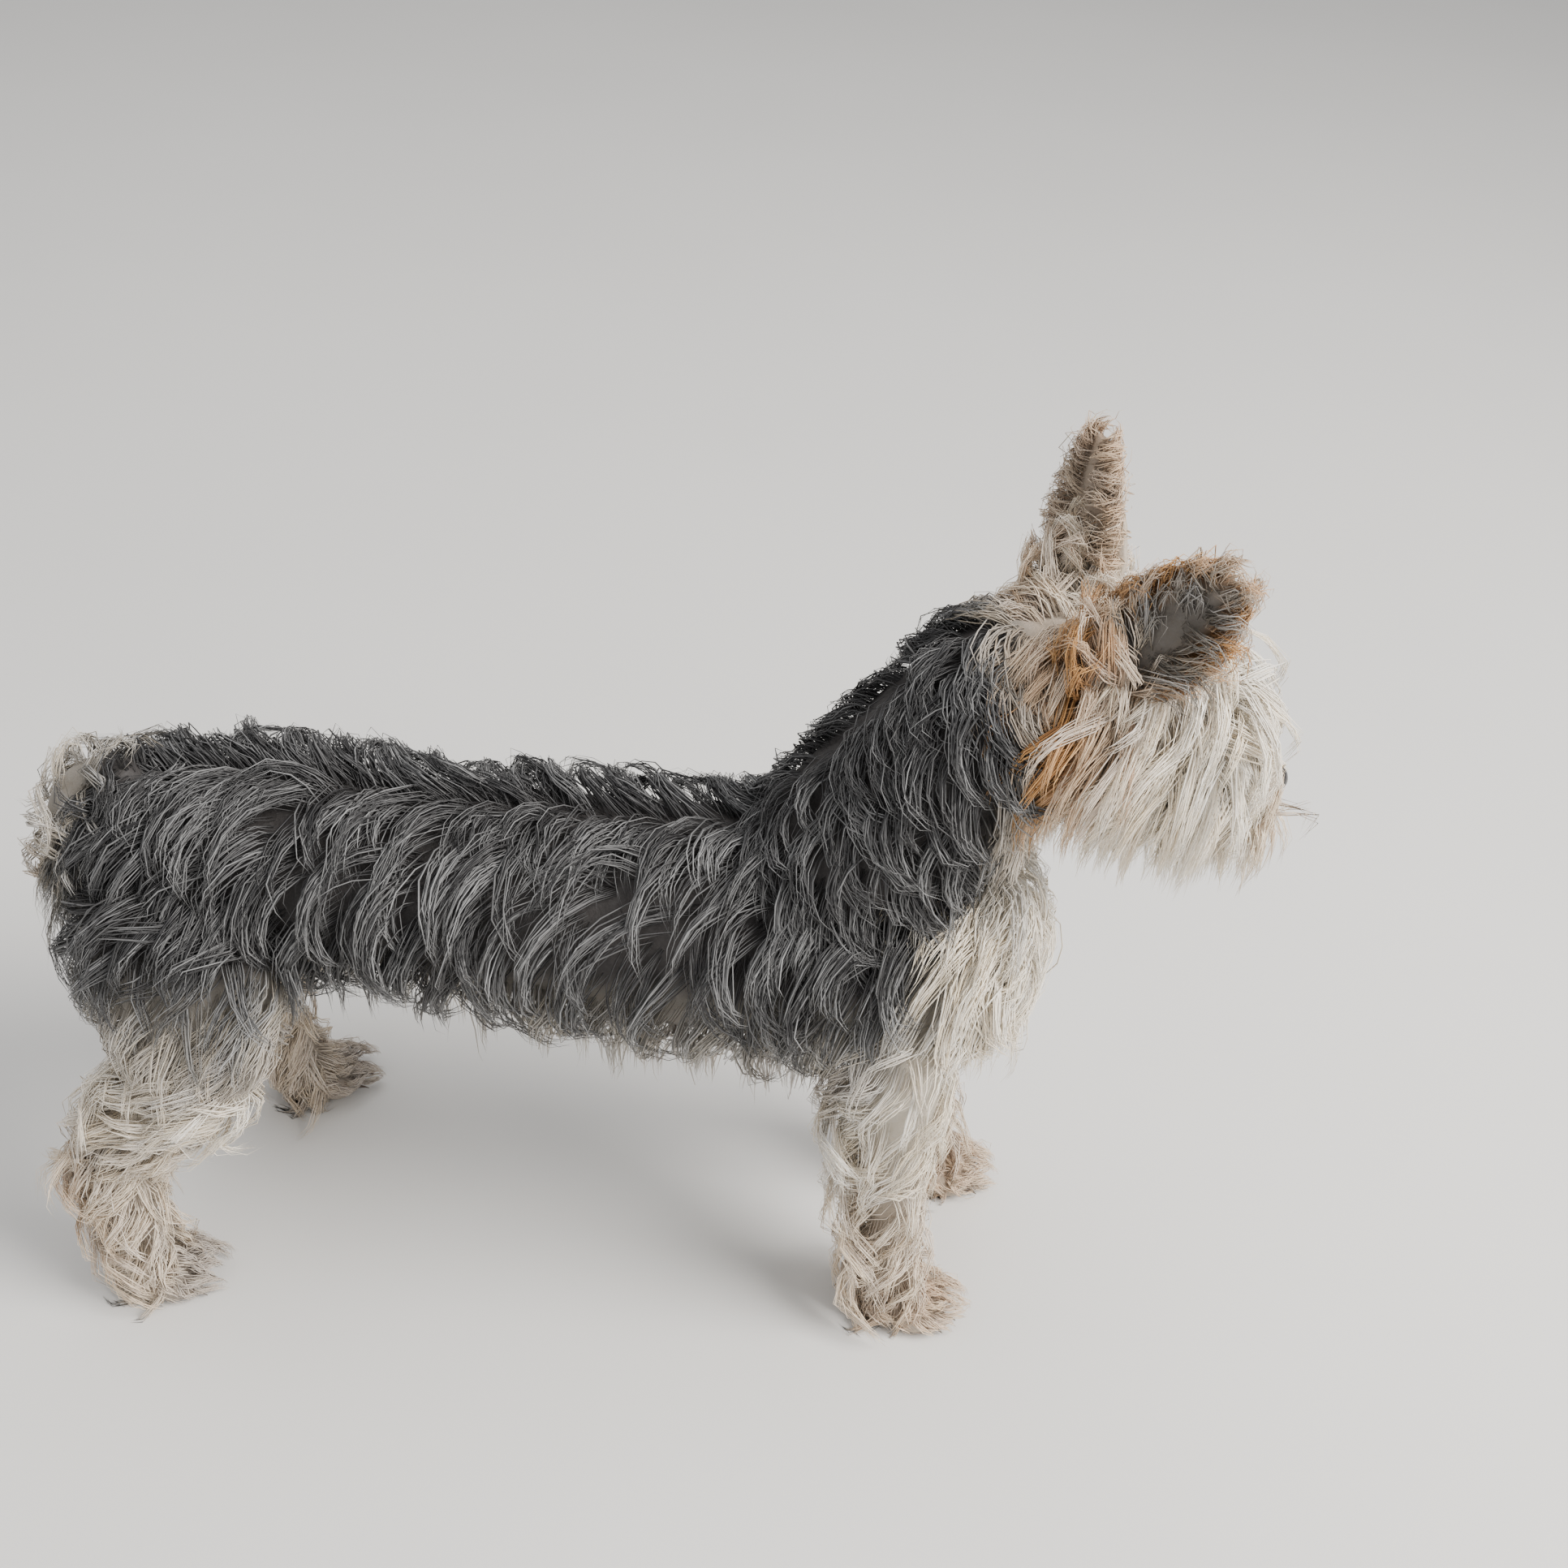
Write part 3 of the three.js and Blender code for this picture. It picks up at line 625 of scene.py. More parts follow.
def claw_tree():
    tree = bpy.data.node_groups.new("claws_of_a_paw", "GeometryNodeTree")
    wanted = [("Geometry", "Geometry", None), ("Length", "Float", 0.0085),
              ("Thickness", "Float", 0.0013), ("Droop", "Float", 0.0036), ("Aim", "Float", 0.0),
              ("Seed", "Int", 5), ("Horn", "Material", None)]
    names = {}
    for name, kind, value in wanted:
        socket = tree.interface.new_socket(name, in_out="INPUT", socket_type="NodeSocket" + kind)
        names[name] = socket.identifier
        if value is not None:
            socket.default_value = value
    tree.interface.new_socket("Geometry", in_out="OUTPUT", socket_type="NodeSocketGeometry")
    source = tree.nodes.new("NodeGroupInput")
    given = {name: Value(tree, source.outputs[name]) for name in names}
    g = Graph(tree)
    end = g.node("ShaderNodeCombineXYZ", X=given["Length"], Z=given["Droop"] * -1.0)
    middle = g.node("ShaderNodeCombineXYZ", X=given["Length"] * 0.6, Z=given["Droop"] * -0.1)
    spine = g.node("GeometryNodeCurveQuadraticBezier", Resolution=7, Start=(0, 0, 0), Middle=middle, End=end)
    radius = given["Thickness"] * (1.0 - g.node("GeometryNodeSplineParameter") * 0.9)
    ring = g.node("GeometryNodeCurvePrimitiveCircle", Resolution=10, Radius=1.0)
    claw = g.node("GeometryNodeCurveToMesh", Curve=spine, Profile_Curve=ring, Scale=radius, Fill_Caps=True)
    size = g.node("FunctionNodeRandomValue", 1, {"data_type": "FLOAT"}, _2=0.9, _3=1.08, Seed=given["Seed"])
    turn = g.node("ShaderNodeCombineXYZ", Z=given["Aim"])
    row = g.node("GeometryNodeInstanceOnPoints", Points=given["Geometry"], Instance=claw,
                 Rotation=turn, Scale=size)
    row = g.node("GeometryNodeRealizeInstances", Geometry=row)
    row = g.node("GeometryNodeSetMaterial", Geometry=row, Material=given["Horn"])
    tree.links.new(row.socket, tree.nodes.new("NodeGroupOutput").inputs[0])
    return tree, names

# %% [markdown]
# ### Claws on their toes
# Each paw gets four points, one at the tip of each toe, and the tree turns them into claws. The
# inputs are set by their identifiers before the tree is first evaluated.

# %% Claws on their toes
horn_tree, horn_names = claw_tree()
claws = {}
for name, (x, y, aim) in PAWS.items():
    spots = [turned(aim, 0) @ np.array([ahead + 4.0, k * 6.9, 5.0]) + np.array([x, y, 0])
             for k, ahead in TOES]
    data = bpy.data.meshes.new("claws_" + name)
    data.from_pydata([tuple(v) for v in meters(spots)], [], [])
    item = bpy.data.objects.new("claws_" + name, data)
    bpy.context.collection.objects.link(item)
    grower = item.modifiers.new("claws", "NODES")
    grower.node_group = horn_tree
    grower[horn_names["Aim"]] = aim * RAD
    grower[horn_names["Horn"]] = claw_finish.material
    bpy.context.view_layer.update()
    ready = item.evaluated_get(bpy.context.evaluated_depsgraph_get())
    plain = bpy.data.meshes.new_from_object(ready)
    item.modifiers.clear()
    item.data = plain
    smooth(item)
    claws[name] = item
print("claw faces on each paw:", [len(item.data.polygons) for item in claws.values()])

# %% [markdown]
# ## Growing the coat
# A lock of this dog's coat is a bundle of hairs that share one wave and meet at the tip. So each
# lock gets one guide line that walks over its form, rises off the skin, waves and, where it is
# long, hangs. A dozen or more strands follow that guide. A strand is a thin three-sided taper of
# mesh. Everything is worked out for all locks at once with arrays.

# %% Guide lines over a form
STEPS = 20


def grown_guides(form, u, turn, o):
    n = len(u)
    side = np.where(np.sin(turn * RAD) < 0, -1.0, 1.0)
    long = o["long"] * rng.uniform(0.75, 1.2, n) * (1 - o.get("taper", 0.0) * u)
    step = long / STEPS
    head = side * (o["heading"] + rng.normal(0, o.get("stray", 10), n))
    curl = side * o["curl"] * rng.uniform(0.5, 1.4, n)
    phase = rng.uniform(-0.5, 0.5, n)
    bend = rng.uniform(0.7, 1.25, n)
    hang = o.get("hang", 0.0) * rng.uniform(0.75, 1.1, n)
    rise = o["lift"] * rng.uniform(0.55, 1.25, n)
    down = np.array([0, 0, -1.0])
    uu, tt = u.copy(), turn.copy()
    here = form.at(uu, tt)
    free = np.zeros(n, bool)
    path, outs = [], []
    for i in range(STEPS + 1):
        t = i / STEPS
        fu, fv, out, su, sv = form.directions(uu, tt)
        c, s = np.cos(head * RAD), np.sin(head * RAD)
        go = fu * c[:, None] + fv * s[:, None]
        path.append(here.copy())
        outs.append(out)
        free |= (t > 1 - hang) | (uu > 0.97) | (uu < 0.03)
        fall = np.clip(1.3 * (t - 1 + hang) / np.maximum(hang, 0.05), 0, 1) * (hang > 0)
        loose = here + unit(go * (1 - fall[:, None]) + down * fall[:, None]) * step[:, None]
        uu = np.where(free, uu, uu + c * step / su)
        tt = np.where(free, tt, tt + s * step / sv)
        here = np.where(free[:, None], loose, form.at(uu, tt))
        head = head + (curl * np.cos(t * 4.2 + phase) * 2.4 - side * o.get("sweep", 0.0) * bend) / STEPS
    t = np.linspace(0, 1, STEPS + 1)
    height = np.interp(t, [0, 0.07, 0.4, 0.8, 1], [-3.8, 0.05, 0.75, 1.0, 0.75])
    wave = np.sin(t[None, :] * 7.5 + rng.uniform(0, 6, n)[:, None]) * o.get("wave", 1.2) * t[None, :]
    lift = np.where(height > 0, height * rise[:, None], height[None, :]) + wave
    path = np.stack(path, 1) + np.stack(outs, 1) * lift[:, :, None]
    return path, np.stack(outs, 1)

# %% [markdown]
# ### Strands
# A hair curve would be lost when the dog leaves Blender, so every strand is a closed taper of
# three sides. It carries three numbers: how far along the hair a point is, which lock the hair
# belongs to, and one of its own. The colours read them later.

# %% Strands along the guides
def strands(guides, outs, o, tint_of):
    n, per, m = len(guides), o["strands"], o.get("points", 5)
    keep_at = np.round(np.linspace(0, STEPS, m)).astype(int)
    t = np.linspace(0, 1, m)
    keep, out = guides[:, keep_at], outs[:, keep_at]
    go = unit(np.gradient(keep, axis=1))
    out = unit(out - go * np.sum(out * go, -1, keepdims=True))
    side = np.cross(go, out)
    spread = o["spread"]
    across = rng.normal(0, 0.5, (n, per)) * spread
    along = rng.normal(0, 0.5, (n, per)) * spread
    close = np.interp(t, [0, 0.25, 0.5, 0.75, 1], [1, 0.85, 0.62, 0.42, o.get("open", 0.26)])
    frizz = rng.normal(0, o.get("frizz", 0.25), (n, per, m, 2)) * (2.0 * t ** 0.8)[:, None]
    layer = rng.normal(0, 0.45, (n, per, 1)) * np.interp(t, [0, 0.25, 0.75, 1], [0, 1, 1.6, 1.2])
    place = keep[:, None] + side[:, None] * (across[:, :, None] * close + frizz[..., 0])[..., None]
    place = place + out[:, None] * (layer + frizz[..., 1])[..., None]
    slide = rng.uniform(-0.16, 0.08, (n, per))[:, :, None, None] * t[None, None, :, None]
    place = place + go[:, None] * (along[:, :, None, None] + slide * o["long"])
    total = n * per
    shape = np.interp(t, [0, 0.25, 0.6, 1], [0.55, 1, 0.85, 0])
    width = o["width"] * rng.uniform(0.6, 1.3, (total, 1)) * shape
    place = place.reshape(total, m, 3)
    g = unit(np.gradient(place, axis=1))
    w = np.repeat(out, per, axis=0)
    w = unit(w - g * np.sum(w * g, -1, keepdims=True))
    s = np.cross(g, w)
    spin = rng.uniform(-0.7, 0.7, total)[:, None, None]
    s, w = s * np.cos(spin) + w * np.sin(spin), w * np.cos(spin) - s * np.sin(spin)
    corners = [(1.0, -0.35), (-1.0, -0.35), (0.0, 0.55)]
    ring = np.stack([place + (s * a + w * b) * width[..., None] / 2 for a, b in corners], 2)
    count = 3 * m - 2
    places = np.concatenate([ring[:, :m - 1].reshape(total, 3 * (m - 1), 3), place[:, m - 1:]], 1)
    base = (np.arange(total) * count)[:, None, None]
    quads = np.array([(i * 3 + k, i * 3 + (k + 1) % 3, i * 3 + 3 + (k + 1) % 3, i * 3 + 3 + k)
                      for i in range(m - 2) for k in range(3)])
    tips = np.array([(3 * m - 6 + k, 3 * m - 6 + (k + 1) % 3, count - 1) for k in range(3)])
    quads = (quads[None] + base).reshape(-1, 4)[:, ::-1]
    tips = (tips[None] + base).reshape(-1, 3)[:, ::-1]
    own = np.stack(np.broadcast_arrays(
        np.concatenate([np.repeat(t[:-1], 3), [1.0]])[None, :],
        np.repeat(rng.uniform(0, 1, n), per)[:, None], rng.uniform(0, 1, total)[:, None]), -1)
    tint = np.broadcast_to(np.repeat(tint_of(keep[:, 0]), per, axis=0)[:, None, :], (total, count, 3))
    offset = np.stack([along.ravel(), across.ravel()], 1)
    return places.reshape(-1, 3), quads, tips, own.reshape(-1, 3), tint.reshape(-1, 3), offset, t

# %% [markdown]
# ### One mesh for each piece of coat
# A region of coat is a list of rows of locks, joined into one mesh. Its second job is the map
# OFBake: each strand is a small patch at its root's place on an unwrap of the form under it.
# The coat stops just above the floor, and two upright planes beside the dog hold it in. Two
# upright planes beside the dog hold it inside the room that the frame allows round the solids.
# The right plane cuts the outermost thigh hair flat.

# %% Coat pieces
COAT_FLOOR = 0.5
COAT_SIDES = (-76.0, 88.0)
PATCH = 0.003
coat_pieces = []


def add_attribute(data, name, values):
    layer = data.attributes.new(name, "FLOAT_VECTOR", "POINT")
    layer.data.foreach_set("vector", np.ascontiguousarray(values, np.float32).ravel())


def grow_coat(name, jobs, body_nodes, slot_name):
    """jobs: (form, range along, range of turns, spacing, look, tint function, tile of the unwrap)."""
    places, quads, tips, strand, tint, uvs, start = [], [], [], [], [], [], 0
    for form, (u0, u1), (a0, a1), spacing, o, tint_of, tile in jobs:
        mid = form.row(np.array([(u0 + u1) / 2]))[0]
        length = np.linalg.norm(form.row(np.array([u1]))[0, :3] - form.row(np.array([u0]))[0, :3])
        girth = abs(a1 - a0) * RAD * (mid[3] + mid[4]) / 2
        nu, nv = max(2, round(length / spacing)), max(2, round(girth / spacing))
        iu, iv = np.meshgrid(np.arange(nu), np.arange(nv), indexing="ij")
        u = u0 + (u1 - u0) * (iu.ravel() + rng.uniform(0, 1, nu * nv)) / nu
        turn = a0 + (a1 - a0) * (iv.ravel() + rng.uniform(0, 1, nu * nv)) / nv
        guides, outs = grown_guides(form, u, turn, o)
        p, q, t, s, c, offset, steps = strands(guides, outs, o, tint_of)
        per = o["strands"]
        root = np.stack([u, ((turn + 360) % 360) / 360], 1)
        root = np.repeat(root, per, axis=0) + offset / np.array([length, math.pi * (mid[3] + mid[4])])
        root = np.array(tile[:2]) + np.array(tile[2:]) * np.clip(root, 0.003, 0.997)
        ring = np.arange(3 * len(steps) - 2)
        climb = steps[np.minimum(ring // 3, len(steps) - 1)]
        patch = np.stack([PATCH / 2 * np.cos(ring * 2.1), PATCH * climb], 1)
        uvs.append((root[:, None] + patch[None]).reshape(-1, 2))
        places.append(p)
        quads.append(q + start)
        tips.append(t + start)
        strand.append(s)
        tint.append(c)
        start += len(p)
    places = np.concatenate(places)
    places[:, 2] = np.maximum(places[:, 2], COAT_FLOOR)
    places[:, 1] = np.clip(places[:, 1], *COAT_SIDES)
    item = mesh_object(name, meters(places), np.concatenate(quads), np.concatenate(tips))
    add_attribute(item.data, "strand", np.concatenate(strand))
    add_attribute(item.data, "tint", np.concatenate(tint))
    uv = item.data.uv_layers.new(name="OFBake")
    index = np.zeros(len(item.data.loops), np.int32)
    item.data.loops.foreach_get("vertex_index", index)
    uv.data.foreach_set("uv", np.concatenate(uvs)[index].astype(np.float32).ravel())
    smooth(item)
    coat_pieces.append((item, body_nodes, slot_name))
    tris = sum(2 * len(q) for q in quads) + sum(len(t) for t in tips)
    print(name, "triangles", tris, "y", np.round(places[:, 1].min()), np.round(places[:, 1].max()),
          "z", np.round(places[:, 2].max()))

# %% [markdown]
# ## The markings
# The dog is steel grey over the neck, back and sides, cream on the legs and face, white on the
# breast, golden at the ear roots, the forefeet and around the nose. Each place gives three
# weights: dark, gold and grey. What is left is cream. Skin and coat ask the same function.

# %% Where each colour lies
def ramp(x, a, b):
    t = np.clip((x - a) / (b - a), 0, 1)
    return t * t * (3 - 2 * t)


def near(p, center, radius):
    return np.exp(-np.sum(((p - np.array(center)) / np.array(radius)) ** 2, axis=-1))


def markings(p):
    p = np.asarray(p, float)
    x, z = p[:, 0], p[:, 2]
    local = (p - HEAD_AT) @ head_axes
    head = ramp(local[:, 0] + 0.35 * local[:, 2], -42, -28) * ramp(z, 205, 225)
    breast = ramp(x - 0.45 * (z - 150), 118, 146) * (1 - ramp(z, 225, 262))
    legs = 1 - ramp(z, 112, 142)
    rear = 1 - ramp(x, -112, -60)
    legs = np.maximum(legs, rear * (1 - ramp(z, 128, 168)) * (1 - 0.2 * rear))
    tail_end = 1 - ramp(x, -154, -138)
    light = np.clip(np.maximum.reduce([head, breast, legs, tail_end * 0.75]), 0, 1)
    dark = (1 - light) * ramp(z, 136, 172)
    grey = (1 - light) * (1 - dark) + 0.35 * tail_end * (1 - dark) * ramp(z, 180, 195)
    gold = np.clip(1.6 * near(p, (171, -36, 278), (20, 24, 30)) + 0.8 * near(p, (168, 40, 290), (18, 18, 22))
                   + 0.75 * near(p, (256, 12, 234), (14, 14, 12))
                   + 0.35 * near(p, (160, 0, 296), (18, 26, 16)), 0, 1)
    fore_foot = near(p, (152, -34, 16), (26, 24, 24)) + near(p, (164, 33, 16), (26, 24, 24))
    shin = ramp(x, 100, 120) * (1 - ramp(z, 60, 110))
    hind = (1 - ramp(x, -90, -60)) * (1 - ramp(z, 60, 130))
    gold = np.clip(np.maximum.reduce([gold, 0.62 * fore_foot, 0.3 * shin, 0.26 * hind,
                                      0.5 * tail_end * (1 - ramp(z, 168, 186))]), 0, 1)
    toes = near(p, (-128, -47, 8), (16, 20, 10)) + near(p, (-92, 62, 8), (16, 20, 10))
    grey = np.clip(np.maximum(grey, 0.75 * toes), 0, 1)
    return np.stack([dark, gold * (1 - dark), grey * (1 - dark)], 1)


def ear_tint(side):
    root, aim, face = EARS[side]
    up, front, across = ear_axes(aim, face)

    def tint(p):
        local = p - root
        f = local @ up / EAR_LENGTH
        s = np.abs(local @ across) / (EAR_WIDTH * np.interp(f, [0, 0.3, 0.6, 1], [0.7, 1, 0.8, 0.3]))
        middle = (1 - ramp(s, 0.25, 0.75)) * ramp(f, -0.1, 0.1)
        dark = middle * (0.85 if side == "right" else 0.3) * (1 - ramp(f, 0.75, 1.0))
        edge = 1 - 0.6 * ramp(s, 0.7, 1.0) * (side == "left")
        gold = (1 - dark) * (0.95 if side == "right" else 0.7) * edge
        return np.stack([dark, gold, 0 * dark], 1)
    return tint

# %% [markdown]
# ## The coat, region by region
# The body coat falls outward from the parting along the spine and back, in waves. The neck's coat
# runs down and back. The face has a fringe, cheeks, moustache and a long beard. The ears carry
# short hair with long edges, the legs wispy feathers, the tail tight curls.

# %% Body and neck
def coat_rows(form, span, turns, spacing, look, tile=(0, 0, 1, 1), tint=None):
    """The same rows on the dog's right and left."""
    return [(form, span, (s * turns[0], s * turns[1]), spacing, look, tint or markings, tile)
            for s in (1, -1)]


WHOLE, UPPER, LOWER = (0, 0, 1, 1), (0, 0.5, 1, 0.5), (0, 0, 1, 0.5)
back_look = {"long": 44, "heading": 150, "sweep": 78, "curl": 14, "lift": 8, "wave": 1.5, "strands": 16,
             "spread": 7.0, "width": 0.62, "frizz": 0.32, "stray": 15, "points": 6}
parting_look = {**back_look, "lift": 5.5, "long": 36}
flank_look = {**back_look, "long": 42, "heading": 122, "sweep": 86, "lift": 8.5}
belly_look = {**back_look, "long": 40, "heading": 96, "sweep": 20, "hang": 0.66, "lift": 5, "strands": 14}
for name, s in (("right", 1), ("left", -1)):
    for part, u0, u1 in (("rear", 0.015, 0.5), ("front", 0.5, 0.94)):
        grow_coat("coat_back_" + part + "_" + name, [
            (torso, (u0, u1), (s * 0.4, s * 10), 6.3, parting_look, markings, WHOLE),
            (torso, (u0, u1), (s * 10, s * 52), 9.5, back_look, markings, WHOLE),
            (torso, (u0, u1), (s * 50, s * 106), 9.5, flank_look, markings, WHOLE)], ["torso"], "saddle_coat")
    grow_coat("coat_belly_" + name, [
        (torso, (0.2, 0.93), (s * 100, s * 142), 8.4, belly_look, markings, WHOLE)], ["torso"], "saddle_coat")
breast = {**belly_look, "long": 36, "lift": 6.5, "hang": 0.6, "sweep": 0, "curl": 20, "strands": 12}
under_look = {**belly_look, "long": 24, "hang": 0.3, "lift": 3}
rump_look = {**back_look, "long": 32, "heading": 90, "hang": 0.5}
grow_coat("coat_breast", [
    *coat_rows(torso, (0.86, 0.99), (60, 178), 8.4, breast),
    (torso, (0.1, 0.9), (142, 218), 10.0, under_look, markings, WHOLE),
    (torso, (0.0, 0.07), (-150, 150), 6.4, rump_look, markings, WHOLE)], ["torso"], "saddle_coat")
bib = Form([[158, 0, 212, 8, 18], [163, 0, 196, 12, 26], [166, 0, 174, 14, 30], [162, 0, 150, 13, 28],
            [152, 0, 130, 9, 18]], (1, 0, 0))
grow_coat("coat_bib", coat_rows(bib, (0.02, 0.9), (0, 104), 7.2, {
    **breast, "long": 34, "heading": 8, "lift": 6, "hang": 0.3, "curl": 30}, WHOLE), ["torso"], "saddle_coat")
neck_look = {**back_look, "long": 36, "heading": 150, "sweep": 62, "curl": 26, "lift": 5.5, "strands": 15,
             "wave": 1.8}
for name, s in (("right", 1), ("left", -1)):
    grow_coat("coat_neck_" + name, [
        (neck, (0.16, 0.97), (s * 0.4, s * 42), 7.2, {**neck_look, "lift": 2.2, "long": 30}, markings, WHOLE),
        (neck, (0.18, 0.97), (s * 38, s * 112), 8.7, neck_look, markings, WHOLE),
        (neck, (0.14, 0.84), (s * 108, s * 180), 8.0, {**neck_look, "long": 32, "heading": 150, "sweep": 0,
                                                      "hang": 0.6}, markings, WHOLE)], ["neck"], "neck_coat")

# %% [markdown]
# ### Head
# The hair of the head is finer than the body's. It parts over the skull, falls past the cheeks
# and hides the mouth. The fringe stands up first and then drops over the eyes, so its locks get
# a high lift and a long hang.

# %% Head: crown, fringe, cheeks, moustache and beard
crown = {"long": 27, "heading": 88, "curl": 14, "lift": 8.5, "wave": 0.8, "strands": 15, "spread": 4.6,
         "width": 0.5, "frizz": 0.24, "stray": 16}
cheek = {**crown, "long": 44, "hang": 0.66, "lift": 11, "curl": 10, "strands": 16}
fringe = {**crown, "long": 36, "heading": 30, "lift": 19, "hang": 0.5, "stray": 36, "strands": 16}
bridge = {**crown, "long": 20, "lift": 4, "hang": 0.3, "width": 0.42}
beard = {**crown, "long": 38, "hang": 0.74, "lift": 9, "curl": 9, "strands": 14}
grow_coat("coat_crown", [
    *coat_rows(skull, (0.03, 0.66), (0.3, 56), 5.2, crown, WHOLE),
    *coat_rows(skull, (0.6, 0.95), (0.3, 66), 4.2, fringe, WHOLE)], ["head"], "head_coat")
grow_coat("coat_cheeks", [
    *coat_rows(skull, (0.05, 0.76), (50, 118), 5.3, cheek, WHOLE),
    *coat_rows(skull, (0.08, 0.72), (116, 174), 6.6, {**cheek, "long": 34, "hang": 0.78, "lift": 4}, WHOLE)],
    ["head"], "head_coat")
grow_coat("coat_face", [
    *coat_rows(muzzle, (0.06, 0.92), (44, 122), 4.5, beard, WHOLE),
    *coat_rows(muzzle, (0.34, 0.93), (0.5, 48), 3.4, bridge, WHOLE),
    *coat_rows(muzzle, (0.06, 0.97), (120, 180), 5.0, {**beard, "long": 32, "hang": 0.9, "lift": 3}, WHOLE)],
    ["head"], "head_coat")

# %% [markdown]
# ### Ears
# The right ear tips forward and shows its back, dark in the middle with golden edges, its hair
# falling over the cheek. The left one stands, its rear edge fringed. A tuft rings each root.

# %% Ear hair
def ear_form(side):
    root, aim, face = EARS[side]
    up, front, _ = ear_axes(aim, face)
    rows = [[*(root + up * EAR_LENGTH * t - front * 2.5), 2.0, EAR_WIDTH * w]
            for t, w in ((0.0, 0.6), (0.25, 0.95), (0.5, 0.95), (0.75, 0.68), (0.95, 0.28))]
    return Form(rows, -front)


ear_hair = {"long": 19, "heading": 40, "curl": 8, "lift": 2.4, "wave": 0.4, "strands": 11, "spread": 3.4,
            "width": 0.42, "frizz": 0.22, "stray": 16, "taper": 0.55}
for side in ("right", "left"):
    form, tint = ear_form(side), ear_tint(side)
    back = {**ear_hair, "long": 30, "heading": 34, "hang": 0.6, "lift": 3.2, "taper": 0.62, "spread": 4.2}
    if side == "left":
        back = {**back, "long": 24, "heading": 74, "hang": 0.25}
    root = EARS[side][0]
    ring = Form([[*(root + np.array([0, 0, h])), r, r]
                 for h, r in ((-10, 10), (-2, 15), (7, 13), (13, 8))], (1, 0, 0))
    tuft = {**ear_hair, "long": 27, "heading": 12, "lift": 6, "hang": 0.45, "taper": 0.0, "stray": 30,
            "strands": 15}
    edge = {**ear_hair, "heading": 30, "long": 17}
    inner = {**ear_hair, "long": 9, "heading": 8, "lift": 0.6, "width": 0.34}
    grow_coat("coat_ear_" + side, [
        *coat_rows(form, (0.0, 0.97), (0, 88), 4.0, back, UPPER, tint),
        *coat_rows(form, (0.0, 0.99), (78, 112), 4.0, edge, UPPER, tint),
        *coat_rows(form, (0.0, 0.85), (112, 178), 4.8, inner, UPPER, tint),
        *coat_rows(ring, (0.05, 0.98), (0, 180), 5.9, tuft, LOWER)], ["ear_" + side], "ear_coat")

# %% [markdown]
# ### Legs, feet and tail
# The legs have long wispy hair that breaks the outline at the back, so their rear rows lift more
# than the others. Hair on the toes is short. The tail's hair curls hard, which a large curl and a
# scattered heading give.

# %% Legs, feet and tail
leg_look = {"long": 31, "heading": 10, "curl": 38, "lift": 5, "wave": 1.9, "strands": 12, "spread": 4.2,
            "width": 0.5, "frizz": 0.32, "stray": 18, "hang": 0.15}
feather = {**leg_look, "long": 34, "lift": 13, "hang": 0.25, "curl": 52, "strands": 13}
thigh_look = {**leg_look, "long": 38, "heading": 30, "sweep": 26, "lift": 6, "curl": 40, "strands": 16,
              "spread": 6.0, "width": 0.58}
inner_thigh = {**thigh_look, "long": 26, "strands": 10}
for i, name in enumerate(("right", "left")):
    out = 1 if name == "right" else -1
    grow_coat("coat_foreleg_" + name, [
        *coat_rows(fore_legs[i], (0.02, 0.97), (0, 150), 7.5, leg_look),
        *coat_rows(fore_legs[i], (0.2, 0.96), (138, 180), 7.0, feather)], ["foreleg_" + name], "leg_coat")
    grow_coat("coat_thigh_" + name, [
        (thighs[i], (0.05, 0.98), (out * 2, out * 178), 7.6, thigh_look, markings, WHOLE),
        (thighs[i], (0.4, 0.98), (-out * 176, -out * 2), 9.0, inner_thigh, markings, WHOLE)],
        ["thigh_" + name], "thigh_coat")
    grow_coat("coat_shank_" + name, [
        *coat_rows(shanks[i], (0.04, 0.97), (0, 150), 6.4, leg_look),
        *coat_rows(shanks[i], (0.1, 0.97), (138, 180), 6.4, {**feather, "lift": 9})],
        ["shank_" + name], "leg_coat")
    grow_coat("coat_pastern_" + name, [
        *coat_rows(pasterns[i], (0.06, 0.97), (0, 140), 6.0, leg_look),
        *coat_rows(pasterns[i], (0.06, 0.95), (128, 180), 6.0, {**feather, "lift": 9})],
        ["pastern_" + name], "leg_coat")

toe_hair = {"long": 12, "heading": 0, "curl": 12, "lift": 1.8, "wave": 0.3, "strands": 12, "spread": 2.6,
            "width": 0.42, "frizz": 0.24, "stray": 20, "hang": 0.25}
PAD_ROWS = ((-15, 9, 6, 7), (-8, 10, 9.5, 11), (2, 9.5, 9, 12.5), (10, 8, 7, 12.5), (16, 7, 5, 10))
for name, (x, y, aim) in PAWS.items():
    axes = turned(aim, 0)
    spine = [[*(axes @ np.array([a, 0, 0.0]) + np.array([x, y, h])), up, wide]
             for a, h, up, wide in PAD_ROWS]
    pad = Form(spine, (0, 0, 1))
    grow_coat("coat_paw_" + name, coat_rows(pad, (0.0, 0.98), (0, 112), 4.3, toe_hair),
              ["paw_" + name], "paw_coat")

curly = {"long": 25, "heading": 40, "curl": 170, "lift": 5, "wave": 2.8, "strands": 14, "spread": 4.2,
         "width": 0.55, "frizz": 0.4, "stray": 60, "points": 6}
grow_coat("coat_tail", coat_rows(tail, (0.0, 0.98), (0, 179), 6.0, curly), ["tail"], "tail_coat")
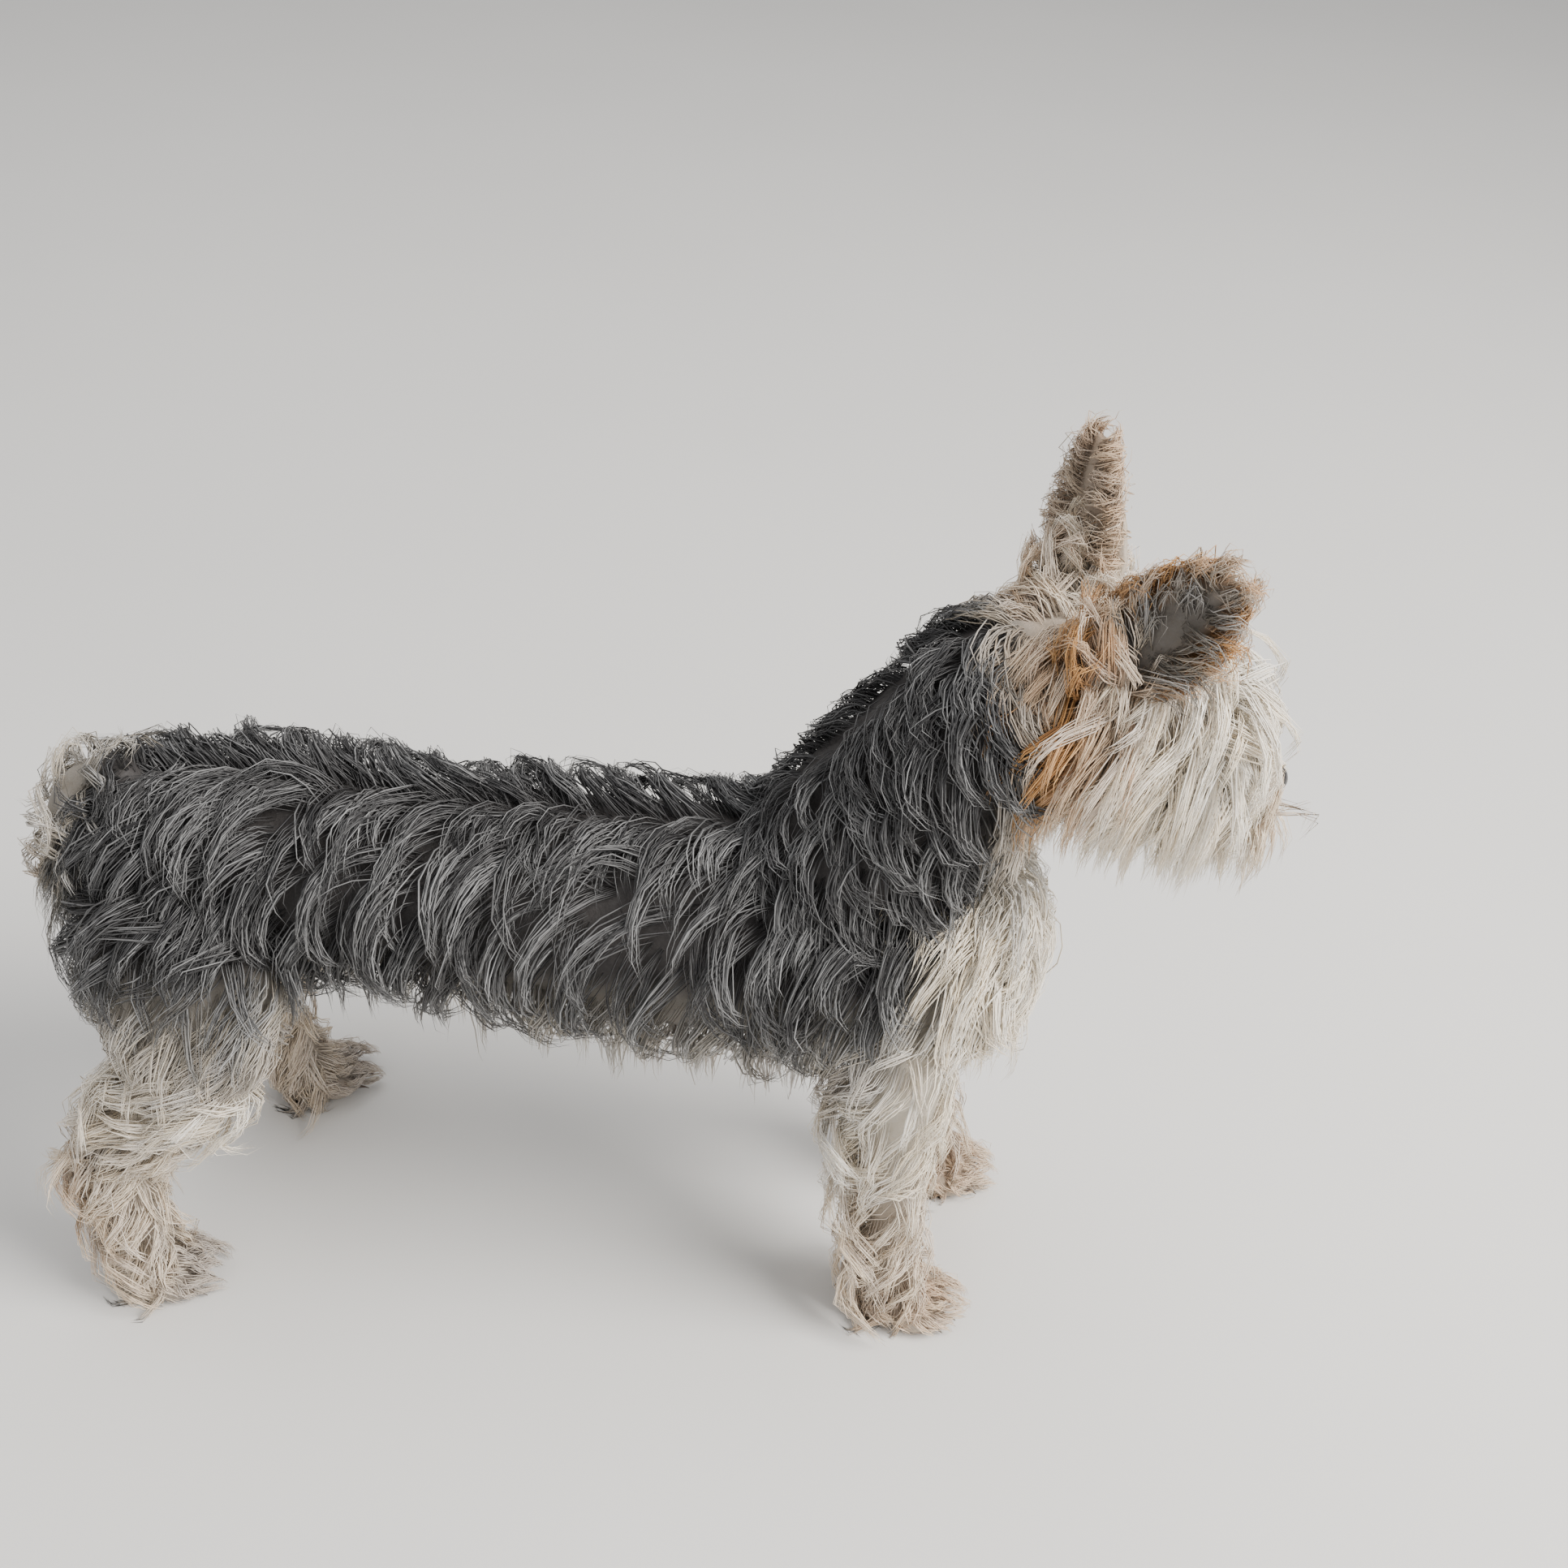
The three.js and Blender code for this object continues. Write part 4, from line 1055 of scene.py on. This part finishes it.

# %% [markdown]
# ## Materials of hair and skin
# The hair's colour mixes four named colours by the marking weights. Near the roots it is darkened towards
# near black, painted shade deep in the coat; tips of the dark coat turn silver, and every lock and strand differs a
# little.

# %% Coat and skin finishes
DARK = (0.018, 0.017, 0.018)
SILVER = (0.50, 0.50, 0.50)
GREY = (0.27, 0.235, 0.22)
PALE = (0.72, 0.66, 0.60)
CREAM = (0.93, 0.80, 0.60)
WHITE = (1.0, 0.98, 0.93)
GOLD = (0.78, 0.44, 0.16)
BROWN = (0.24, 0.095, 0.035)
# Near-black painted shade for the roots of the hairs, deep inside the coat.
ROOT_PAINTED_SHADE = (0.01, 0.008, 0.007)


def hair_colour(finish, tint, along, lock, own):
    dark, gold, grey = finish.parts(tint)
    pale = finish.mix((lock * 0.55 + own * 0.45).clip(), CREAM, WHITE)
    warm = finish.mix((own * 0.55 + along * 0.45).clip(), BROWN, GOLD)
    light = finish.mix((gold + (lock - 0.5) * 0.35 * gold).clip(), pale, warm)
    mauve = finish.mix((along * along * 0.8 + own * 0.2).clip(), GREY, PALE)
    light = finish.mix((grey + (own - 0.5) * 0.3 * grey).clip(), light, mauve)
    bright = ((own * own * own * 0.75 + lock * lock * lock * 0.4 + 0.02) * (0.08 + along * 0.88)).clip()
    steel = finish.mix(bright, DARK, SILVER)
    return finish.mix(dark, light, steel)


def coat_finish(name):
    finish = Finish(name, Specular_IOR_Level=0.5)
    along, lock, own = finish.parts(finish.attribute("strand"))
    colour = hair_colour(finish, finish.attribute("tint"), along, lock, own)
    # Painted shade: near its root each hair is darkened towards near black, for the shade deep inside the coat.
    deep = finish.mix(0.75, colour, ROOT_PAINTED_SHADE)
    finish.plug("Base Color", finish.mix((1 - along * 2.4).clip() * 0.55, colour, deep))
    finish.plug("Roughness", 0.36 + own * 0.22)
    return finish.material


coat_material = coat_finish("silky_hair")
skin_finish = Finish("skin_under_coat", Roughness=0.7)
grain = skin_finish.noise(220.0)
fine = skin_finish.noise(900.0)
skin_colour = hair_colour(skin_finish, skin_finish.attribute("tint"), grain * 0.6, grain, fine * 0.7)
# Painted shade: the skin takes the coat's colours and is darkened by almost half towards near black, for the shade
# under the hair.
skin_finish.plug("Base Color", skin_finish.mix(0.45, skin_colour, (0.03, 0.022, 0.018)))
skin_finish.bump(fine, 0.5, 0.0006)


def marked(item, function):
    data = item.data
    co = np.zeros(len(data.vertices) * 3, np.float32)
    data.vertices.foreach_get("co", co)
    places = (co.reshape(-1, 3) - row_shift) * 1000
    add_attribute(data, "tint", function(places))
    data.materials.clear()


marked(skin, markings)
skin.data.materials.append(skin_finish.material)
for side, item in ears.items():
    marked(item, ear_tint(side))
    item.data.materials.append(skin_finish.material)

# %% [markdown]
# ### Eyes and nose leather
# The eye is almost black with a brown ring and a wet, clear surface. The nose leather is
# pebbled and slightly moist.

# %% Eye and nose finishes
eye_materials = {}
for name, side in (("right", -1), ("left", 1)):
    eye_finish = Finish("eye_" + name, Roughness=0.06, IOR=1.38, Coat_Weight=1.0, Coat_Roughness=0.03)
    center = meters(on_head(EYE[0], side * EYE[1], EYE[2]))
    look = unit(head_axes @ np.array([0.74, side * 0.62, 0.16]))
    place = eye_finish.node("ShaderNodeTexCoord", 3)
    off = eye_finish.node("ShaderNodeVectorMath", 0, {"operation": "SUBTRACT"}, _0=place, _1=tuple(center))
    facing = eye_finish.node("ShaderNodeVectorMath", 1, {"operation": "DOT_PRODUCT"}, _0=off, _1=tuple(look))
    depth = facing / (EYE_RADIUS / 1000)
    fibres = eye_finish.noise(1500.0)
    iris = eye_finish.mix(fibres, (0.035, 0.014, 0.006), (0.11, 0.045, 0.018))
    rim = eye_finish.mix(((depth - 0.68) * 14).clip(), (0.30, 0.24, 0.20), iris)
    eye_finish.plug("Base Color", eye_finish.mix(((depth - 0.9) * 30).clip(), rim, (0.004, 0.004, 0.004)))
    eye_materials[name] = eye_finish.material
nose_finish = Finish("nose_leather_black", Roughness=0.34, Coat_Weight=0.35)
pebbles = nose_finish.node("ShaderNodeTexVoronoi", 0, {"feature": "DISTANCE_TO_EDGE"},
                           Vector=nose_finish.node("ShaderNodeTexCoord", 3), Scale=900.0)
leather = nose_finish.mix((pebbles * 3).clip(), (0.006, 0.005, 0.005), (0.028, 0.024, 0.023))
nose_finish.plug("Base Color", leather)
nose_finish.bump(pebbles, 0.7, 0.0004)

# %% [markdown]
# ## Hand every piece to the frame
# The skin stands for the nodes of flesh, each coat piece for its own node, and all of them ride
# on the one still body.

# %% Pieces, nodes and slots
def settle(item, material, slot_name, *nodes):
    if material is not None:
        item.data.materials.clear()
        item.data.materials.append(material)
    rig.ride(item, "root")
    if nodes:
        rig.replaces(item, *nodes)
    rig.slot(item, slot_name)


FLESH = ["head", "neck", "torso", "tail"] + [
    part + "_" + side for part in ("foreleg", "thigh", "shank", "pastern") for side in ("right", "left")] + [
    "paw_" + name for name in PAWS]
settle(skin, None, "saddle_coat", *FLESH)
for side in ("right", "left"):
    settle(ears[side], None, "ear_coat", "ear_" + side)
    settle(eyes[side], eye_materials[side], "eye", "eye_" + side)
settle(nose, nose_finish.material, "nose_leather", "nose")
for name, item in claws.items():
    settle(item, claw_finish.material, "paw_coat", "paw_" + name)
for item, nodes, slot_name in coat_pieces:
    settle(item, coat_material, slot_name, *nodes)
coat_count = sum(len(p.vertices) - 2 for item, _, _ in coat_pieces for p in item.data.polygons)
print("coat triangles:", coat_count)

# %% [markdown]
# ## Floor, light and camera
# A plain pale floor, a large soft window light from the front right as in the photo, a weak fill,
# and the camera where the photo's own perspective puts it.

# %% Stage
FLOOR_HALF = 20
floor_corners = [(x * FLOOR_HALF, y * FLOOR_HALF, 0) for x, y in ((-1, -1), (1, -1), (1, 1), (-1, 1))]
ground = mesh_object("floor", np.array(floor_corners, float), [(0, 1, 2, 3)])
ground_finish = Finish("pale_floor", Roughness=0.6)
floor_colour = ground_finish.mix(ground_finish.noise(3.0), (0.70, 0.69, 0.67), (0.76, 0.75, 0.73))
ground_finish.plug("Base Color", floor_colour)
ground.data.materials.append(ground_finish.material)
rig.stage(ground)


def soft_light(name, place, target, size, power, colour=(1, 1, 1)):
    lamp = bpy.data.lights.new(name, "AREA")
    lamp.shape = "RECTANGLE"
    lamp.size, lamp.size_y = size
    lamp.energy = power
    lamp.color = colour
    item = bpy.data.objects.new(name, lamp)
    bpy.context.collection.objects.link(item)
    way = unit(np.array(target) - np.array(place))
    right = unit(np.cross(way, (0, 0, 1)))
    up = np.cross(right, way)
    rows = [[right[i], up[i], -way[i], place[i]] for i in range(3)] + [[0, 0, 0, 1]]
    item.matrix_world = Matrix(rows)


soft_light("window", (1.3, -0.5, 1.5), (0.05, 0, 0.15), (1.0, 1.0), 78, (1.0, 0.97, 0.93))
soft_light("sky", (-0.3, 0.4, 2.2), (0, 0, 0.1), (2.0, 2.0), 26, (1.0, 0.99, 0.98))
soft_light("fill", (-0.6, -1.8, 0.9), (0, 0, 0.15), (1.4, 1.4), 7)
world = bpy.data.worlds.new("room")
world.use_nodes = True
world.node_tree.nodes["Background"].inputs["Color"].default_value = (0.97, 0.98, 1.0, 1)
world.node_tree.nodes["Background"].inputs["Strength"].default_value = 0.42
bpy.context.scene.world = world

# %% [markdown]
# ### Camera
# The camera stands above and to the right of the dog. Its place and aim are given in the dog's
# own frame and move with the row, so the picture stays the same wherever the row is centred.

# %% Camera
LENS = 42.17
SENSOR = 36
CAMERA_AT = (92.946, -487.98, 595.097)
camera_data = bpy.data.cameras.new("camera")
camera_data.lens = LENS
camera_data.sensor_width = SENSOR
camera = bpy.data.objects.new("camera", camera_data)
bpy.context.collection.objects.link(camera)
spot = meters(np.array(CAMERA_AT))
right = np.array([0.9972, 0.0509, 0.0553])
forward = unit(np.array([-0.0072, 0.7974, -0.6035]))
right = unit(right - forward * (right @ forward))
up = np.cross(right, forward)
rows = [[right[i], up[i], -forward[i], spot[i]] for i in range(3)] + [[0, 0, 0, 1]]
camera.matrix_world = Matrix(rows)
bpy.context.scene.camera = camera

# %% [markdown]
# ## Sizes and finish
# The two boxes, of the solids and of the dressed dog, are written down so that they can be
# compared.

# %% Sizes and finish
json.dump({"cad": cad_box, "visual": [list(c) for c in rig.bounds()]}, open("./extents.json", "w"))
print(open("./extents.json").read())
